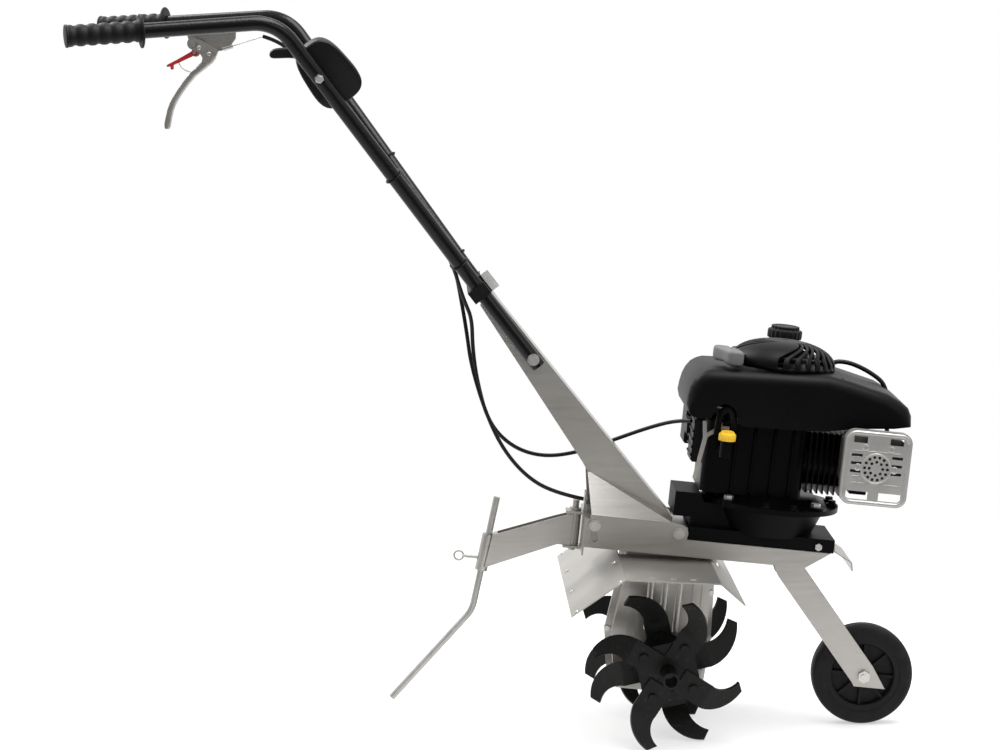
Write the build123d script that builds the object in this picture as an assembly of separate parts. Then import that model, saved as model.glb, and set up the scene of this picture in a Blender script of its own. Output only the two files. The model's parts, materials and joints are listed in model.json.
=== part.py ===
from build123d import *
import math
import os

# Petrol garden tiller. Sizes are in millimetres. The machine is drawn level, its origin on the tine shaft at
# mid width, +X towards the front wheel and +Z up. At the end it is tipped onto its tines and its wheel.

# Stock and fits
sheet = 2.5
play = 0.3
running = 0.05
bolt_r = 4.0
bolt_flats = 13.0
bolt_head = 5.5
washer_r = 9.0
washer_t = 1.6

# Deck, a channel with its open side down
deck_half = 62.0
deck_top = 189.0
deck_depth = 26.0
deck_sheet = 3.0
deck_rear = -140.0
deck_front = 232.0
deck_nose = 37.0

# Hitch bracket on the rear of the deck
hitch_front = 13.0
hitch_top = 207.0
hitch_low = 150.0
lug_reach = 26.0
lug_half = 14.0
lug_t = 3.5

# Handle column and its two bolts through the hitch bracket
pivot_z = 198.0
height_bolt_x = -127.0
handle_travel = 9.2
column_half = 30.0
column_head = (-316.0, 528.0)
column_heel = (-331.0, 507.5)
column_back = (-153.0, 286.0)
gusset_back = (-144.0, 273.0)
column_toe = (-9.0, 215.0)
flange_top = 214.0
flange_rear_top = -135.0
flange_rear_low = (-129.0, 165.5)
flange_nose_r = 14.0
flange_t = 3.0

# Handlebars, bent from round tube, and their grips
bar_r = 11.0
bar_wall = 1.8
bar_foot = (-234.6, 426.0)
bar_splay = (-352.0, 550.0)
bar_corner = (-666.0, 165.0, 899.4)
bar_end = (-951.4, 243.0, 852.0)
bar_bend_r = 68.0
splay_bend_r = 160.0
grip_length = 106.0
grip_r = 15.2
grip_rim_r = 16.5
grip_flange_r = 24.5
grip_flange_t = 4.0
bar_bolts = ((-244.2, 436.3),)
collar_length = 20.0
collar_low = 2.4
collar_ahead = 12.0
collar_behind = 17.0
collar_side = 3.0

# Clutch lever on the left bar, placed along the bar from its corner and below it
lever_pivot = (152.0, -34.0)
lane_gap = 0.4
lever_t = 5.0
lever_pin_r = 3.0
bracket_half = 9.0
bracket_from = 84.0
bracket_to = 166.0
catch_pivot = (152.0, -48.0)
barrel_from = (106.0, -44.8, 4.2)
barrel_to = (91.0, -41.4, 4.2)
barrel_r = 3.4
wire_r = 0.9

# Throttle control on the inner side of the right bar
throttle_at = 0.79
throttle_length = 102.0
throttle_width = 71.0
throttle_t = 26.0
throttle_mid = (-8.0, 13.5)
throttle_rest = -36.5
throttle_pin_r = 3.0

# Drag arm, stake and their pins
arm_pin_x = -154.0
arm_pin_r = 5.0
arm_half = 12.0
arm_barrel_r = 9.5
stake_r = 5.0
stake_top = (-274.7, 215.0)
stake_bend = (-294.5, 38.0)
stake_tip = (-403.0, -110.0)
stake_bend_r = 45.0
stake_sleeve_r = 9.5
sleeve_top_z = 157.0
sleeve_low_z = 101.0
clip_r = 2.5
clip_z = 120.0

# Gear case, pressed in two halves
case_half = 32.0
case_wall = 3.0
case_rim = 9.0
case_top = deck_top - deck_sheet
case_boss_r = 24.0
case_boss_y = 41.0
case_outline = ((-72, case_top), (-72, 105), (-82, 30), (-70, -43), (-60, -52), (50, -52), (60, -43),
                (64, 30), (60, 110), (60, case_top))

# Tine shaft, worm drive and tines
shaft_r = 8.5
shaft_half = 140.0
socket_r = 9.0
bearing_r = 18.0
worm_x = 40.0
worm_r = 10.0
worm_shaft_r = 7.0
worm_half = 22.0
wheel_gear_r = worm_x - worm_r
wheel_gear_teeth = 28
gear_half = 9.0
worm_bearing_r = 15.0
hub_r = 12.7
hub_from = 43.0
hub_to = 190.0
star_y = (76.0, 136.0)
star_angle = (12.5, 57.5)
hub_plate = 88.0
hub_plate_t = 4.0
blade_t = 5.0
blade_half = 19.0
blade_root = 20.0
blade_fold = 66.0
blade_length = (60.5, 51.0)
blade_bend = 28.0
blade_hook = 32.0
blade_bolt_at = 44.0

# Tine guard
guard_half = 222.0
guard_rear = (-86.0, 152.0)
guard_front = (53.0, 159.0)
guard_rear_low = (-159.0, 90.0)
guard_front_low = (92.0, 131.0)
guard_t = 2.0

# Engine pan and belt drive
pan_half = 60.0
tray_top = 209.0
pan_top = 246.0
bowl_r = (71.0, 88.0)
pan_front = 236.0
pan_rear = 16.0
cover_rear = -10.0
cover_low = 222.0
cover_top = 259.0
cover_half = 48.0
crank_x = 134.0
crank_r = 11.0
pulley_z = (226.0, 243.0)
pulley_flange = 3.0
driven_r = 38.0
drive_r = 20.0
belt_depth = 7.0
idler_r = 11.0
idler_rest = (98.0, -46.5)
idler_pivot = (152.0, -44.0)
idler_arm_z = 219.0
idler_arm_t = 3.5
idler_pin_r = 4.0

# Front bumper
bumper_points = ((236.0, 204.0), (238.5, 192.0), (266.0, 178.0), (268.5, 165.0))
bumper_t = 2.0

# Wheel and its fork
axle_x = 310.0
axle_z = -2.6
tyre_r = 77.4
tyre_half = 18.0
rim_r = 57.0
axle_r = 5.0
fork_gap = 20.5
fork_t = 3.5
fork_half = 20.0
fork_pivot = (156.5, 176.5)
fork_pin_r = 6.0
fork_eye_r = 8.5
fork_taper = 30.0
fork_toe = 17.0

# Engine castings
sump_r = 104.0
sump_ahead = 4.5
sump_flange = 8.0
sump_top = 264.0
sump_lug_r = 105.0
sump_lug = 12.0
case_x = (24.0, 178.0)
case_y = 58.0
block_top = 372.0
block_wall = 6.0
cylinder_z = 322.0
cylinder_bore = 30.0
cylinder_r = 40.0
head_x = (250.0, 276.0)
fin_t = 2.6
fin_pitch = 8.4
fin_half = 50.0
flywheel_r = 72.0
flywheel_z = (386.0, 402.0)

# Blower housing, recoil cover and starter
shroud_half = 92.0
shroud_wall = 2.5
shroud_round = 14.0
shroud_peak = (196.0, 460.0)
shroud_outline = ((10, 379), (-8, 383), (-13, 398), (-9, 424), (1, 443), (18, 452), shroud_peak, (285, 441),
                  (321, 423), (326, 395), (246, 386), (195, 377), (78, block_top), (40, block_top))
dome_r = 79.5
dome_height = 37.0
dome_base = shroud_peak[1]
dome_top = dome_base + dome_height
dome_wall = 2.5
dome_slots = 18
reel_r = 37.0
reel_z = (466.0, 482.0)
post_r = 8.0
rope_r = 2.0
rope_y = -(reel_r + rope_r + 1.5)
rope_z = 474.0
rope_x = (48.0, 192.0)
pull_grip = ((30.0, 54.0), (-76.0, -10.0), (463.5, 486.0))

# Tank, intake, oil filler, exhaust
tank_x = (70.0, 205.0)
tank_y = (shroud_half, 158.0)
tank_z = (386.0, 462.0)
neck_at = (149.0, 125.0)
neck_r = 20.0
cap_r = 27.0
cap_z = (485.0, 505.0)
filler_at = (52.0, -95.0)
filler_r = 9.0
filler_z = 334.0
oil_cap_r = 13.0
oil_cap_z = (350.0, 366.0)
muffler_x = (226.0, 316.0)
muffler_y = (-128.0, -64.0)
muffler_z = (300.0, 380.0)
shield_x = (221.0, 321.0)
shield_z = (280.5, 392.0)
shield_y = -138.0
shield_t = 1.5
shield_rim = 14.0

# Control cables, each through points chosen along its route on the machine
cable_r = 3.0
clutch_route = ((-698.6, 178.3, 864.4), (-680, 171, 861), (-655, 156, 849), (-614, 140, 819),
                (-551.5, 115.2, 748.5), (-487.5, 82.5, 680), (-421, 50.5, 614), (-383, 36, 573),
                (-370, 31, 545), (-360, 25, 512), (-346, 14, 462), (-334, 6, 411), (-306, 0, 344),
                (-274, -4, 290), (-232, -6, 250), (-187, -6, 231), (-144, -6, 226))
throttle_route = ((-560, -96, 786), (-538, -87, 764), (-472, -76, 695), (-415, -50.5, 622), (-377, -31, 563),
                  (-364, -17, 530), (-353, -6, 506), (-340, 4, 482), (-334, 14, 436), (-322, 24, 386),
                  (-298, 36, 322), (-258, 46, 286), (-207, 54, 274), (-150, 57, 288), (-99, 52, 314),
                  (-51, 34, 340), (-14, 8, 358), (5, -12, 362))
spark_r = 3.5
spark_route = ((212, 44, 454), (214, 44, 466), (238, 44, 468), (262, 43, 461), (282, 43, 451.5),
               (296, 42, 442), (303, 40, 428), (306, 32, 404), (307, 18, 376), (306, 4, 350),
               (306, 0, cylinder_z))
spark_holes = ((212, 44, 440, 470), (300.5, 41, 422, 450), (306.5, 26.5, 380, 400))


def block(x0, x1, y0, y1, z0, z1):
    """A plain box between two corners."""
    return Pos((x0 + x1) / 2, (y0 + y1) / 2, (z0 + z1) / 2) * Box(x1 - x0, y1 - y0, z1 - z0)


def rod(start, end, radius):
    """A round bar between two points."""
    run = Vector(*end) - Vector(*start)
    seat = Plane(origin=start, z_dir=run)
    return seat * Cylinder(radius, run.length, align=(Align.CENTER, Align.CENTER, Align.MIN))


def sleeve(start, end, outer, inner):
    """A round tube between two points."""
    return rod(start, end, outer) - rod(start, end, inner)


def upright(x, y, z0, z1, radius):
    """A round bar standing on end."""
    return rod((x, y, z0), (x, y, z1), radius)


def across(x, z, y0, y1, radius):
    """A round bar lying across the machine."""
    return rod((x, y0, z), (x, y1, z), radius)


def outline(points):
    """A closed flat shape through corner points."""
    return make_face(Polyline(*points, close=True))


def slab(shape, y0, y1):
    """A side-view shape made solid between two widths."""
    return extrude(Plane.XZ.offset(-y1) * shape, amount=y1 - y0, dir=(0, -1, 0))


def plate(points, y0, y1):
    """A flat plate cut to a side-view outline."""
    return slab(outline(points), y0, y1)


def both(piece):
    """A piece and its mirror image on the other side of the machine."""
    return piece + mirror(piece, about=Plane.XZ)


def hex_bolt(seat, direction, length):
    """A hexagon bolt with a washer under its head and a nut on its far end."""
    way = Vector(*direction)
    under = Vector(*seat)
    far = under - way * length
    washer = rod(under, under + way * washer_t, washer_r)
    hexagon = extrude(RegularPolygon(bolt_flats / 2, 6, major_radius=False), bolt_head)
    head = Plane(origin=under + way * washer_t, z_dir=way) * hexagon
    nut = Plane(origin=far, z_dir=-way) * hexagon
    return washer + head + nut + rod(far, under + way * washer_t, bolt_r)


def tube_run(points, radius):
    """A cable through its points, with each corner rounded as far as its runs allow."""
    spots = [Vector(*point) for point in points]
    radii = []
    for before, corner, after in zip(spots, spots[1:], spots[2:]):
        run_in = corner - before
        run_out = after - corner
        half_turn = math.radians(run_in.get_angle(run_out)) / 2
        radii.append(0.45 * min(run_in.length, run_out.length) / math.tan(half_turn))
    path = FilletPolyline(*points, radius=radii)
    print("cable radii", [round(value) for value in radii], "length", round(path.length))
    return sweep(Plane(origin=path @ 0, z_dir=path % 0) * Circle(radius), path)


# Deck channel with its slanted nose
deck_low = deck_top - deck_depth
deck_side = ((deck_rear, deck_top), (deck_front, deck_top), (deck_front - deck_nose, deck_low),
             (deck_rear, deck_low))
deck = plate(deck_side, -deck_half, deck_half)
deck -= block(deck_rear - 1, deck_front + 1, deck_sheet - deck_half, deck_half - deck_sheet,
              deck_low - 1, case_top)
deck -= upright(worm_x, 0, case_top - 1, deck_top + 1, worm_shaft_r + 2)
deck -= across(*fork_pivot, -deck_half - 1, deck_half + 1, fork_pin_r)

# Hitch bracket: two cheeks for the handle bolts, a back plate and two lugs for the drag arm
back_x = deck_rear - sheet
hitch_bracket = both(block(deck_rear, hitch_front, deck_half - sheet, deck_half, deck_top, hitch_top))
hitch_bracket += block(deck_rear, hitch_front, -deck_half, deck_half, hitch_top - sheet, hitch_top)
hitch_bracket += block(back_x, deck_rear, -deck_half, deck_half, hitch_low, hitch_top)
for lug_z in (hitch_top - lug_t, hitch_low):
    hitch_bracket += block(back_x - lug_reach, back_x, -lug_half, lug_half, lug_z, lug_z + lug_t)
hitch_bracket += block(back_x, back_x + sheet, -lug_half, lug_half, hitch_top, hitch_top + 30)
hitch_bracket -= upright(arm_pin_x, 0, hitch_low - 1, hitch_top + 1, arm_pin_r)
for bolt_x, bolt_z in ((0, pivot_z), (height_bolt_x, pivot_z)):
    hitch_bracket -= across(bolt_x, bolt_z, -deck_half - 1, deck_half + 1, bolt_r)

# Handle column: two side plates, a front web, flared gussets and the bolted flanges
flange_in = deck_half + play
flange_out = flange_in + flange_t
side_outline = (column_head, column_heel, column_back, gusset_back, column_toe)
handle_column = both(plate(side_outline, -column_half, -column_half + sheet))
web_drop = sheet * 1.4
web_outline = (column_head, column_toe, (column_toe[0], column_toe[1] - web_drop),
               (column_head[0], column_head[1] - web_drop))
handle_column += plate(web_outline, -column_half, column_half)
flare_lift = 1.0
flare_in = column_half - sheet / 2
flare_end = flange_in + flange_t / 2
flare_corners = ((gusset_back[0], -flare_in, gusset_back[1] + flare_lift),
                 (column_toe[0] - 2, -flare_in, column_toe[1] + flare_lift),
                 (column_toe[0] - 2, -flare_end, flange_top - flare_lift),
                 (flange_rear_top + 2, -flare_end, flange_top - flare_lift))
flare_under = tuple((x, y, z - flange_t) for x, y, z in flare_corners)
flare_faces = []
for first, second, third in ((0, 1, 2), (0, 2, 3)):
    for ring in (flare_corners, flare_under):
        flare_faces.append(outline((ring[first], ring[second], ring[third])))
for first, second in ((0, 1), (1, 2), (2, 3), (3, 0)):
    flare_faces.append(outline((flare_corners[first], flare_corners[second],
                                flare_under[second], flare_under[first])))
flare = Solid(Shell(flare_faces))
nose_top = pivot_z + flange_nose_r
flange_points = ((flange_rear_top, flange_top), (column_toe[0], flange_top), (0, nose_top),
                 (0, pivot_z - flange_nose_r), flange_rear_low)
flange = plate(flange_points, -flange_out, -flange_in)
flange += across(0, pivot_z, -flange_out, -flange_in, flange_nose_r)
flange -= across(0, pivot_z, -flange_out - 1, -flange_in + 1, bolt_r + running)
travel_slot = SlotArc(CenterArc((0, 0), -height_bolt_x, 180, handle_travel + 0.3), 2 * (bolt_r + play))
flange -= slab(Pos(0, pivot_z) * travel_slot, -flange_out - 1, -flange_in + 1)
handle_column += both(flare + flange)
bar_line = column_half + bar_r
for bolt_x, bolt_z in bar_bolts:
    handle_column -= across(bolt_x, bolt_z, -column_half - 1, column_half + 1, bolt_r)

# End cap of the column, held between the two handlebars
bar_way = (Vector(bar_splay[0], 0, bar_splay[1]) - Vector(bar_foot[0], 0, bar_foot[1])).normalized()
cap_plane = Plane(origin=(column_head[0], 0, column_head[1]), x_dir=bar_way, z_dir=(0, -1, 0))
cap_length = 30.0
cap_depth = 10.0
saddle_depth = 13.0
cap_block = Box(cap_length, cap_depth, 2 * column_half)
saddle_block = Box(cap_length, saddle_depth, 2 * column_half)
column_cap = cap_plane * (Pos(cap_length / 2 + 1, cap_depth / 2 - 3, 0) * cap_block)
column_cap += cap_plane * (Pos(cap_length / 2 + 1, -saddle_depth / 2 - 3, 0) * saddle_block)


def handlebar(side, radius):
    """The centre line of one bent bar as a solid round bar: -1 is the right side, 1 the left."""
    points = [(bar_foot[0], side * bar_line, bar_foot[1]), (bar_splay[0], side * bar_line, bar_splay[1]),
              (bar_corner[0], side * bar_corner[1], bar_corner[2]),
              (bar_end[0], side * bar_end[1], bar_end[2])]
    path = FilletPolyline(*points, radius=[splay_bend_r, bar_bend_r])
    return sweep(Plane(origin=path @ 0, z_dir=path % 0) * Circle(radius), path)


def bar_frame(side):
    """A frame at the corner of a bar: x along the bar to its grip, y up, z to the left."""
    corner = Vector(bar_corner[0], side * bar_corner[1], bar_corner[2])
    end = Vector(bar_end[0], side * bar_end[1], bar_end[2])
    along = (end - corner).normalized()
    sideways = Vector(0, 0, 1).cross(along).normalized()
    return Plane(origin=corner, x_dir=along, z_dir=-sideways)


def grip(side):
    """A ribbed rubber grip pushed over the end of a bar."""
    frame = bar_frame(side)
    reach = (Vector(*bar_end) - Vector(*bar_corner)).length
    body = rod((reach - grip_length, 0, 0), (reach + 4, 0, 0), grip_r)
    body += rod((reach - grip_length, 0, 0), (reach - grip_length + grip_flange_t, 0, 0), grip_flange_r)
    body -= rod((reach - grip_length - 1, 0, 0), (reach, 0, 0), bar_r)
    body += rod((reach, 0, 0), (reach + 4, 0, 0), grip_rim_r)
    rib_pitch = 16.5
    for rib in range(6):
        rib_x = reach - grip_length + 11 + rib * rib_pitch
        body -= sleeve((rib_x, 0, 0), (rib_x + 5, 0, 0), grip_r + 1, grip_r - 1.4)
    return frame * body


handlebars = {}
for side in (-1, 1):
    bar = handlebar(side, bar_r) - handlebar(side, bar_r - bar_wall)
    for bolt_x, bolt_z in bar_bolts:
        bar -= across(bolt_x, bolt_z, side * (bar_line - bar_r - 1), side * (bar_line + bar_r + 1), bolt_r)
    handlebars[side] = bar
bar_outside = bar_line + bar_r
through_bolts = [hex_bolt((x, -bar_outside, z), (0, -1, 0), 2 * bar_outside) for x, z in bar_bolts]
handle_bolts = Compound(children=through_bolts)

# Collar of the end cap, moulded round both bars just above the column
bar_level = cap_plane.to_local_coords(Vector(bar_splay[0], 0, bar_splay[1])).Y
collar_block = Box(collar_length, collar_ahead + collar_behind, 2 * (bar_outside + collar_side))
collar_mid = bar_level + (collar_behind - collar_ahead) / 2
collar = cap_plane * (Pos(collar_low + collar_length / 2, collar_mid, 0) * collar_block)
column_cap += collar
for side in (-1, 1):
    column_cap -= handlebar(side, bar_r)

# Clutch bracket under the left bar: one cheek with a round window, the lever's pivot and the cable's barrel
left_frame = bar_frame(1)
lever_eye_r = 9.0
catch_eye_r = 5.5
saddle = block(bracket_from, bracket_to, -bar_r - sheet, -bar_r, -bracket_half, bracket_half)
cheek_points = ((bracket_from, -bar_r - sheet / 2), (86, -30), (97, -43), (112, -48), (139, -31), (143, -34),
                (161, -34), (bracket_to, -bar_r - sheet / 2))
cheek_flat = outline(cheek_points) + Pos(*lever_pivot) * Circle(lever_eye_r)
cheek_flat += Pos(*catch_pivot) * Circle(catch_eye_r + 1) - Pos(115, -26) * Circle(9.5)
clutch_bracket = saddle + Pos(0, 0, bracket_half - sheet) * extrude(cheek_flat, sheet)
clutch_bracket += rod((*lever_pivot, -bracket_half), (*lever_pivot, bracket_half), lever_pin_r)
clutch_bracket += rod((*lever_pivot, lane_gap), (*lever_pivot, bracket_half), lever_pin_r + 2)
clutch_bracket += rod((*lever_pivot, -bracket_half), (*lever_pivot, -lever_t - 2 * lane_gap), lever_pin_r + 3)
clutch_bracket += rod((*catch_pivot, 0), (*catch_pivot, bracket_half), lever_pin_r)
clutch_bracket += rod(barrel_from, barrel_to, barrel_r)
clutch_bracket = left_frame * (clutch_bracket - rod(barrel_from, barrel_to, wire_r + play))

# Clutch lever: a flat plate with its pivot, the wire's stud and a curved arm at its three corners
lever_points = ((152, -25), (146, -27), (139, -29.5), (113, -44), (112, -48), (115, -54), (121.5, -62.5),
                (151.5, -84), (175.3, -109.3), (187.6, -126.3), (194.6, -144.8), (198.4, -159.6), (202, -163),
                (205.4, -158), (201.6, -142.8), (194.4, -123), (180.8, -104.6), (156.5, -78.2), (139, -63),
                (137.5, -57), (141.6, -49.4), (151.5, -44.7), (158, -41))
lever_flat = outline(lever_points) + Pos(*lever_pivot) * Circle(lever_eye_r)
clutch_lever = Pos(0, 0, -lane_gap) * extrude(lever_flat, -lever_t)
wire_stud = (116.0, -47.2)
clutch_lever += rod((*wire_stud, -lever_t), (*wire_stud, 6), 2.2)
clutch_lever -= rod((*lever_pivot, -bracket_half), (*lever_pivot, bracket_half), lever_pin_r + running)
clutch_lever = left_frame * clutch_lever

catch_points = ((-3, 3), (2, 3.4), (30, -9.8), (45, -16), (47.5, -18), (46, -20), (41, -19.2), (40.5, -24.5),
                (36.5, -24), (36.5, -17.6), (29, -15), (0, -4))
catch_flat = Pos(*catch_pivot) * (outline(catch_points) + Circle(catch_eye_r))
safety_catch = Pos(0, 0, lane_gap) * extrude(catch_flat, lever_t)
safety_catch -= rod((*catch_pivot, -bracket_half), (*catch_pivot, bracket_half), lever_pin_r + running)
safety_catch = left_frame * safety_catch

# Throttle control, a flat plastic housing bolted to the inner side of the right bar
low = Vector(bar_splay[0], -bar_line, bar_splay[1])
high = Vector(bar_corner[0], -bar_corner[1], bar_corner[2])
bar_up = (high - low).normalized()
inward = (Vector(0, 1, 0) - bar_up * bar_up.Y).normalized()
throttle_plane = Plane(origin=low + (high - low) * throttle_at, x_dir=bar_up, z_dir=inward)
housing_flat = RectangleRounded(throttle_length, throttle_width, 30)
throttle_housing = Pos(*throttle_mid, bar_r) * extrude(housing_flat, throttle_t)
lever_room = 7.0
throttle_pin_top = bar_r + throttle_t + lever_room
throttle_housing += upright(*throttle_mid, bar_r, throttle_pin_top, throttle_pin_r)
spigot_end = throttle_mid[0] - throttle_length / 2 - 5.5
throttle_housing += rod((throttle_mid[0], 3.1, 27), (spigot_end, 3.1, 27), 4.5)
throttle_housing = throttle_plane * throttle_housing
thumb_points = ((0, -11), (46, 3), (76, -8), (82, -7), (85, 0), (81, 7), (52, 19), (0, 11))
thumb_flat = Circle(12) + outline(thumb_points)
throttle_lever = extrude(thumb_flat, lever_room - 1) - upright(0, 0, -1, lever_room, throttle_pin_r + running)
throttle_lever = Pos(*throttle_mid, bar_r + throttle_t + play) * Rot(0, 0, throttle_rest) * throttle_lever
throttle_lever = throttle_plane * throttle_lever

wire_end = left_frame.from_local_coords((Vector(*barrel_from) + Vector(*barrel_to)) * 0.5)
clutch_cable = tube_run(clutch_route, cable_r) + rod(wire_end, clutch_route[0], wire_r)
throttle_cable = tube_run(throttle_route, cable_r)

# Drag arm: a folded channel with a hinge barrel in front and the stake's sleeve behind
stake_way = (Vector(stake_top[0], 0, stake_top[1]) - Vector(stake_bend[0], 0, stake_bend[1])).normalized()


def on_stake(z):
    """The point of the stake's upper line at a height."""
    step = (z - stake_bend[1]) / stake_way.Z
    return Vector(stake_bend[0], 0, stake_bend[1]) + stake_way * step


barrel_low = hitch_low + lug_t + play
barrel_top = hitch_top - lug_t - play
arm_points = ((arm_pin_x - 3, barrel_top), (-186, 193), (-276, 158), (-283, 107), (-177, barrel_low),
              (arm_pin_x - 3, barrel_low))
drag_arm = plate(arm_points, -arm_half, arm_half)
arm_hollow = plate(arm_points, sheet - arm_half, arm_half - sheet)
drag_arm -= arm_hollow & block(-268, -166, -arm_half, arm_half, 0, 400)
drag_arm += upright(arm_pin_x, 0, barrel_low, barrel_top, arm_barrel_r)
drag_arm += rod(on_stake(sleeve_low_z), on_stake(sleeve_top_z), stake_sleeve_r)
drag_arm -= upright(arm_pin_x, 0, barrel_low - 1, barrel_top + 1, arm_pin_r + running)
drag_arm -= rod(on_stake(sleeve_low_z - 20), on_stake(sleeve_top_z + 20), stake_r + running)
clip_at = on_stake(clip_z)
clip_from = (clip_at.X - stake_r - play, 0, clip_z)
clip_to = (clip_at.X - 32, 0, clip_z)
drag_arm -= rod(clip_from, clip_to, clip_r)
clip_ring_r = 7.0
clip_ring = Plane(origin=(clip_to[0] + 1, 0, clip_z), z_dir=(0, 1, 0)) * Torus(clip_ring_r, clip_r * 0.6)
stake_pin = rod(clip_from, clip_to, clip_r) + Pos(-clip_ring_r, 0, 0) * clip_ring
arm_pin = upright(arm_pin_x, 0, hitch_low - 4, hitch_top + 16, arm_pin_r)
arm_pin += upright(arm_pin_x, 0, hitch_top, hitch_top + 4, arm_pin_r + 4)
stake_path = FilletPolyline((stake_top[0], 0, stake_top[1]), (stake_bend[0], 0, stake_bend[1]),
                            (stake_tip[0], 0, stake_tip[1]), radius=stake_bend_r)
hinge_pins = arm_pin + across(*fork_pivot, -deck_half, deck_half, fork_pin_r)
drag_stake = sweep(Plane(origin=stake_path @ 0, z_dir=stake_path % 0) * Circle(stake_r), stake_path)

# Gear case halves with a bolted rim, bearing bosses and pressed ribs
case_face = outline(case_outline)
case_inner = offset(case_face, -case_wall)
case_skirt = offset(case_face, case_rim) - Pos(0, case_top) * Rectangle(400, 2 * (case_top - deck_low) + 12)
case_half_body = slab(case_face, -case_half, 0) - slab(case_inner, case_wall - case_half, 1)
case_half_body += slab(case_skirt, -case_wall, 0) - slab(case_inner, -case_half, 1)
case_half_body += across(0, 0, -case_boss_y, -case_half + case_wall, case_boss_r)
case_half_body -= across(0, 0, -case_boss_y - 1, 0, bearing_r)
case_bearing_z = ((-44.0, -31.0), (150.0, 163.0))
for low_z, high_z in case_bearing_z:
    seat_block = block(worm_x - worm_bearing_r - 5, worm_x + worm_bearing_r + 2, case_wall - case_half, 0,
                       low_z, high_z)
    case_half_body += seat_block
    case_half_body -= upright(worm_x, 0, low_z, high_z, worm_bearing_r)
case_half_body -= upright(worm_x, 0, high_z, case_top + 1, worm_shaft_r + 1)
for rib_x in (-62, -46, 34, 48):
    rib_low = 30 if abs(rib_x) < 50 else -38
    case_half_body += block(rib_x, rib_x + 7, -case_half - 2, -case_half + 1, rib_low, 140)
rim_bolts = ((-87.4, 30), (-78, 100), (-68.5, -51.4), (69.4, 30), (65.8, 100), (58.5, -51.4))
for bolt_x, bolt_z in rim_bolts:
    case_half_body -= across(bolt_x, bolt_z, -case_wall - 1, 1, 2.5)
gear_case_right = case_half_body
gear_case_left = mirror(case_half_body, about=Plane.XZ)
case_bolts = []
for bolt_x, bolt_z in rim_bolts:
    shank = across(bolt_x, bolt_z, -case_wall, case_wall, 2.5)
    heads = both(Plane(origin=(bolt_x, -case_wall, bolt_z), z_dir=(0, -1, 0))
                 * extrude(RegularPolygon(4, 6, major_radius=False), 3.5))
    case_bolts.append(shank + heads)

bearing_seats = [sleeve((0, -case_boss_y, 0), (0, -case_half + case_wall, 0), bearing_r, shaft_r + running),
                 sleeve((0, case_half - case_wall, 0), (0, case_boss_y, 0), bearing_r, shaft_r + running)]
for low_z, high_z in case_bearing_z:
    worm_seat = sleeve((worm_x, 0, low_z), (worm_x, 0, high_z), worm_bearing_r, worm_shaft_r + running)
    bearing_seats.append(worm_seat)
shaft_bearings = Compound(children=bearing_seats)

# Tine shaft, worm wheel and worm
tine_shaft = across(0, 0, -shaft_half, shaft_half, shaft_r)
tooth_depth = 4.0
wheel_flat = Circle(wheel_gear_r - play)
for tooth in range(wheel_gear_teeth):
    gap = Rot(0, 0, tooth * 360 / wheel_gear_teeth) * Pos(wheel_gear_r, 0) * Rectangle(2 * tooth_depth, 3.0)
    wheel_flat -= gap
worm_wheel = slab(wheel_flat, -gear_half, gear_half)
worm_wheel += across(0, 0, -gear_half - 12, gear_half + 12, shaft_r + 6)
worm_wheel -= across(0, 0, -case_half, case_half, shaft_r)
worm_shaft = upright(worm_x, 0, case_bearing_z[0][0], pulley_z[1], worm_shaft_r)
worm_shaft += upright(worm_x, 0, -worm_half, worm_half, worm_r - play)
thread_pitch = 6.0
for turn in range(7):
    groove_z = -worm_half + 2 + turn * thread_pitch
    worm_shaft -= sleeve((worm_x, 0, groove_z), (worm_x, 0, groove_z + 2.4), worm_r + 1, worm_shaft_r + 0.5)


def tine_blade(fold_way, length):
    """One knife lying along +X: a flat root, and an outer half folded to one side."""
    root = extrude(outline(((blade_root, -blade_half), (blade_fold, -blade_half), (blade_fold, blade_half),
                            (blade_root, blade_half))), blade_t)
    tip = (blade_fold + length, blade_hook)
    heel = (tip[0] - 13, blade_hook + 10)
    back = (blade_fold + length * 0.64, blade_hook * 0.2 - 12)
    belly = (blade_fold + length * 0.43, blade_hook * 0.2 + 15)
    edges = [ThreePointArc((blade_fold, -blade_half), back, tip),
             Line(tip, heel),
             ThreePointArc(heel, belly, (blade_fold, blade_half)),
             Line((blade_fold, blade_half), (blade_fold, -blade_half))]
    knife = extrude(make_face(edges), blade_t)
    hinge_line = Axis((blade_fold, 0, blade_t / 2), (0, 1, 0))
    knife = knife.rotate(hinge_line, -fold_way * blade_bend)
    knuckle = rod((blade_fold, -blade_half, blade_t / 2), (blade_fold, blade_half, blade_t / 2), blade_t / 2)
    return root + knuckle + knife - upright(blade_bolt_at, 0, -1, blade_t + 1, bolt_r)


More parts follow.
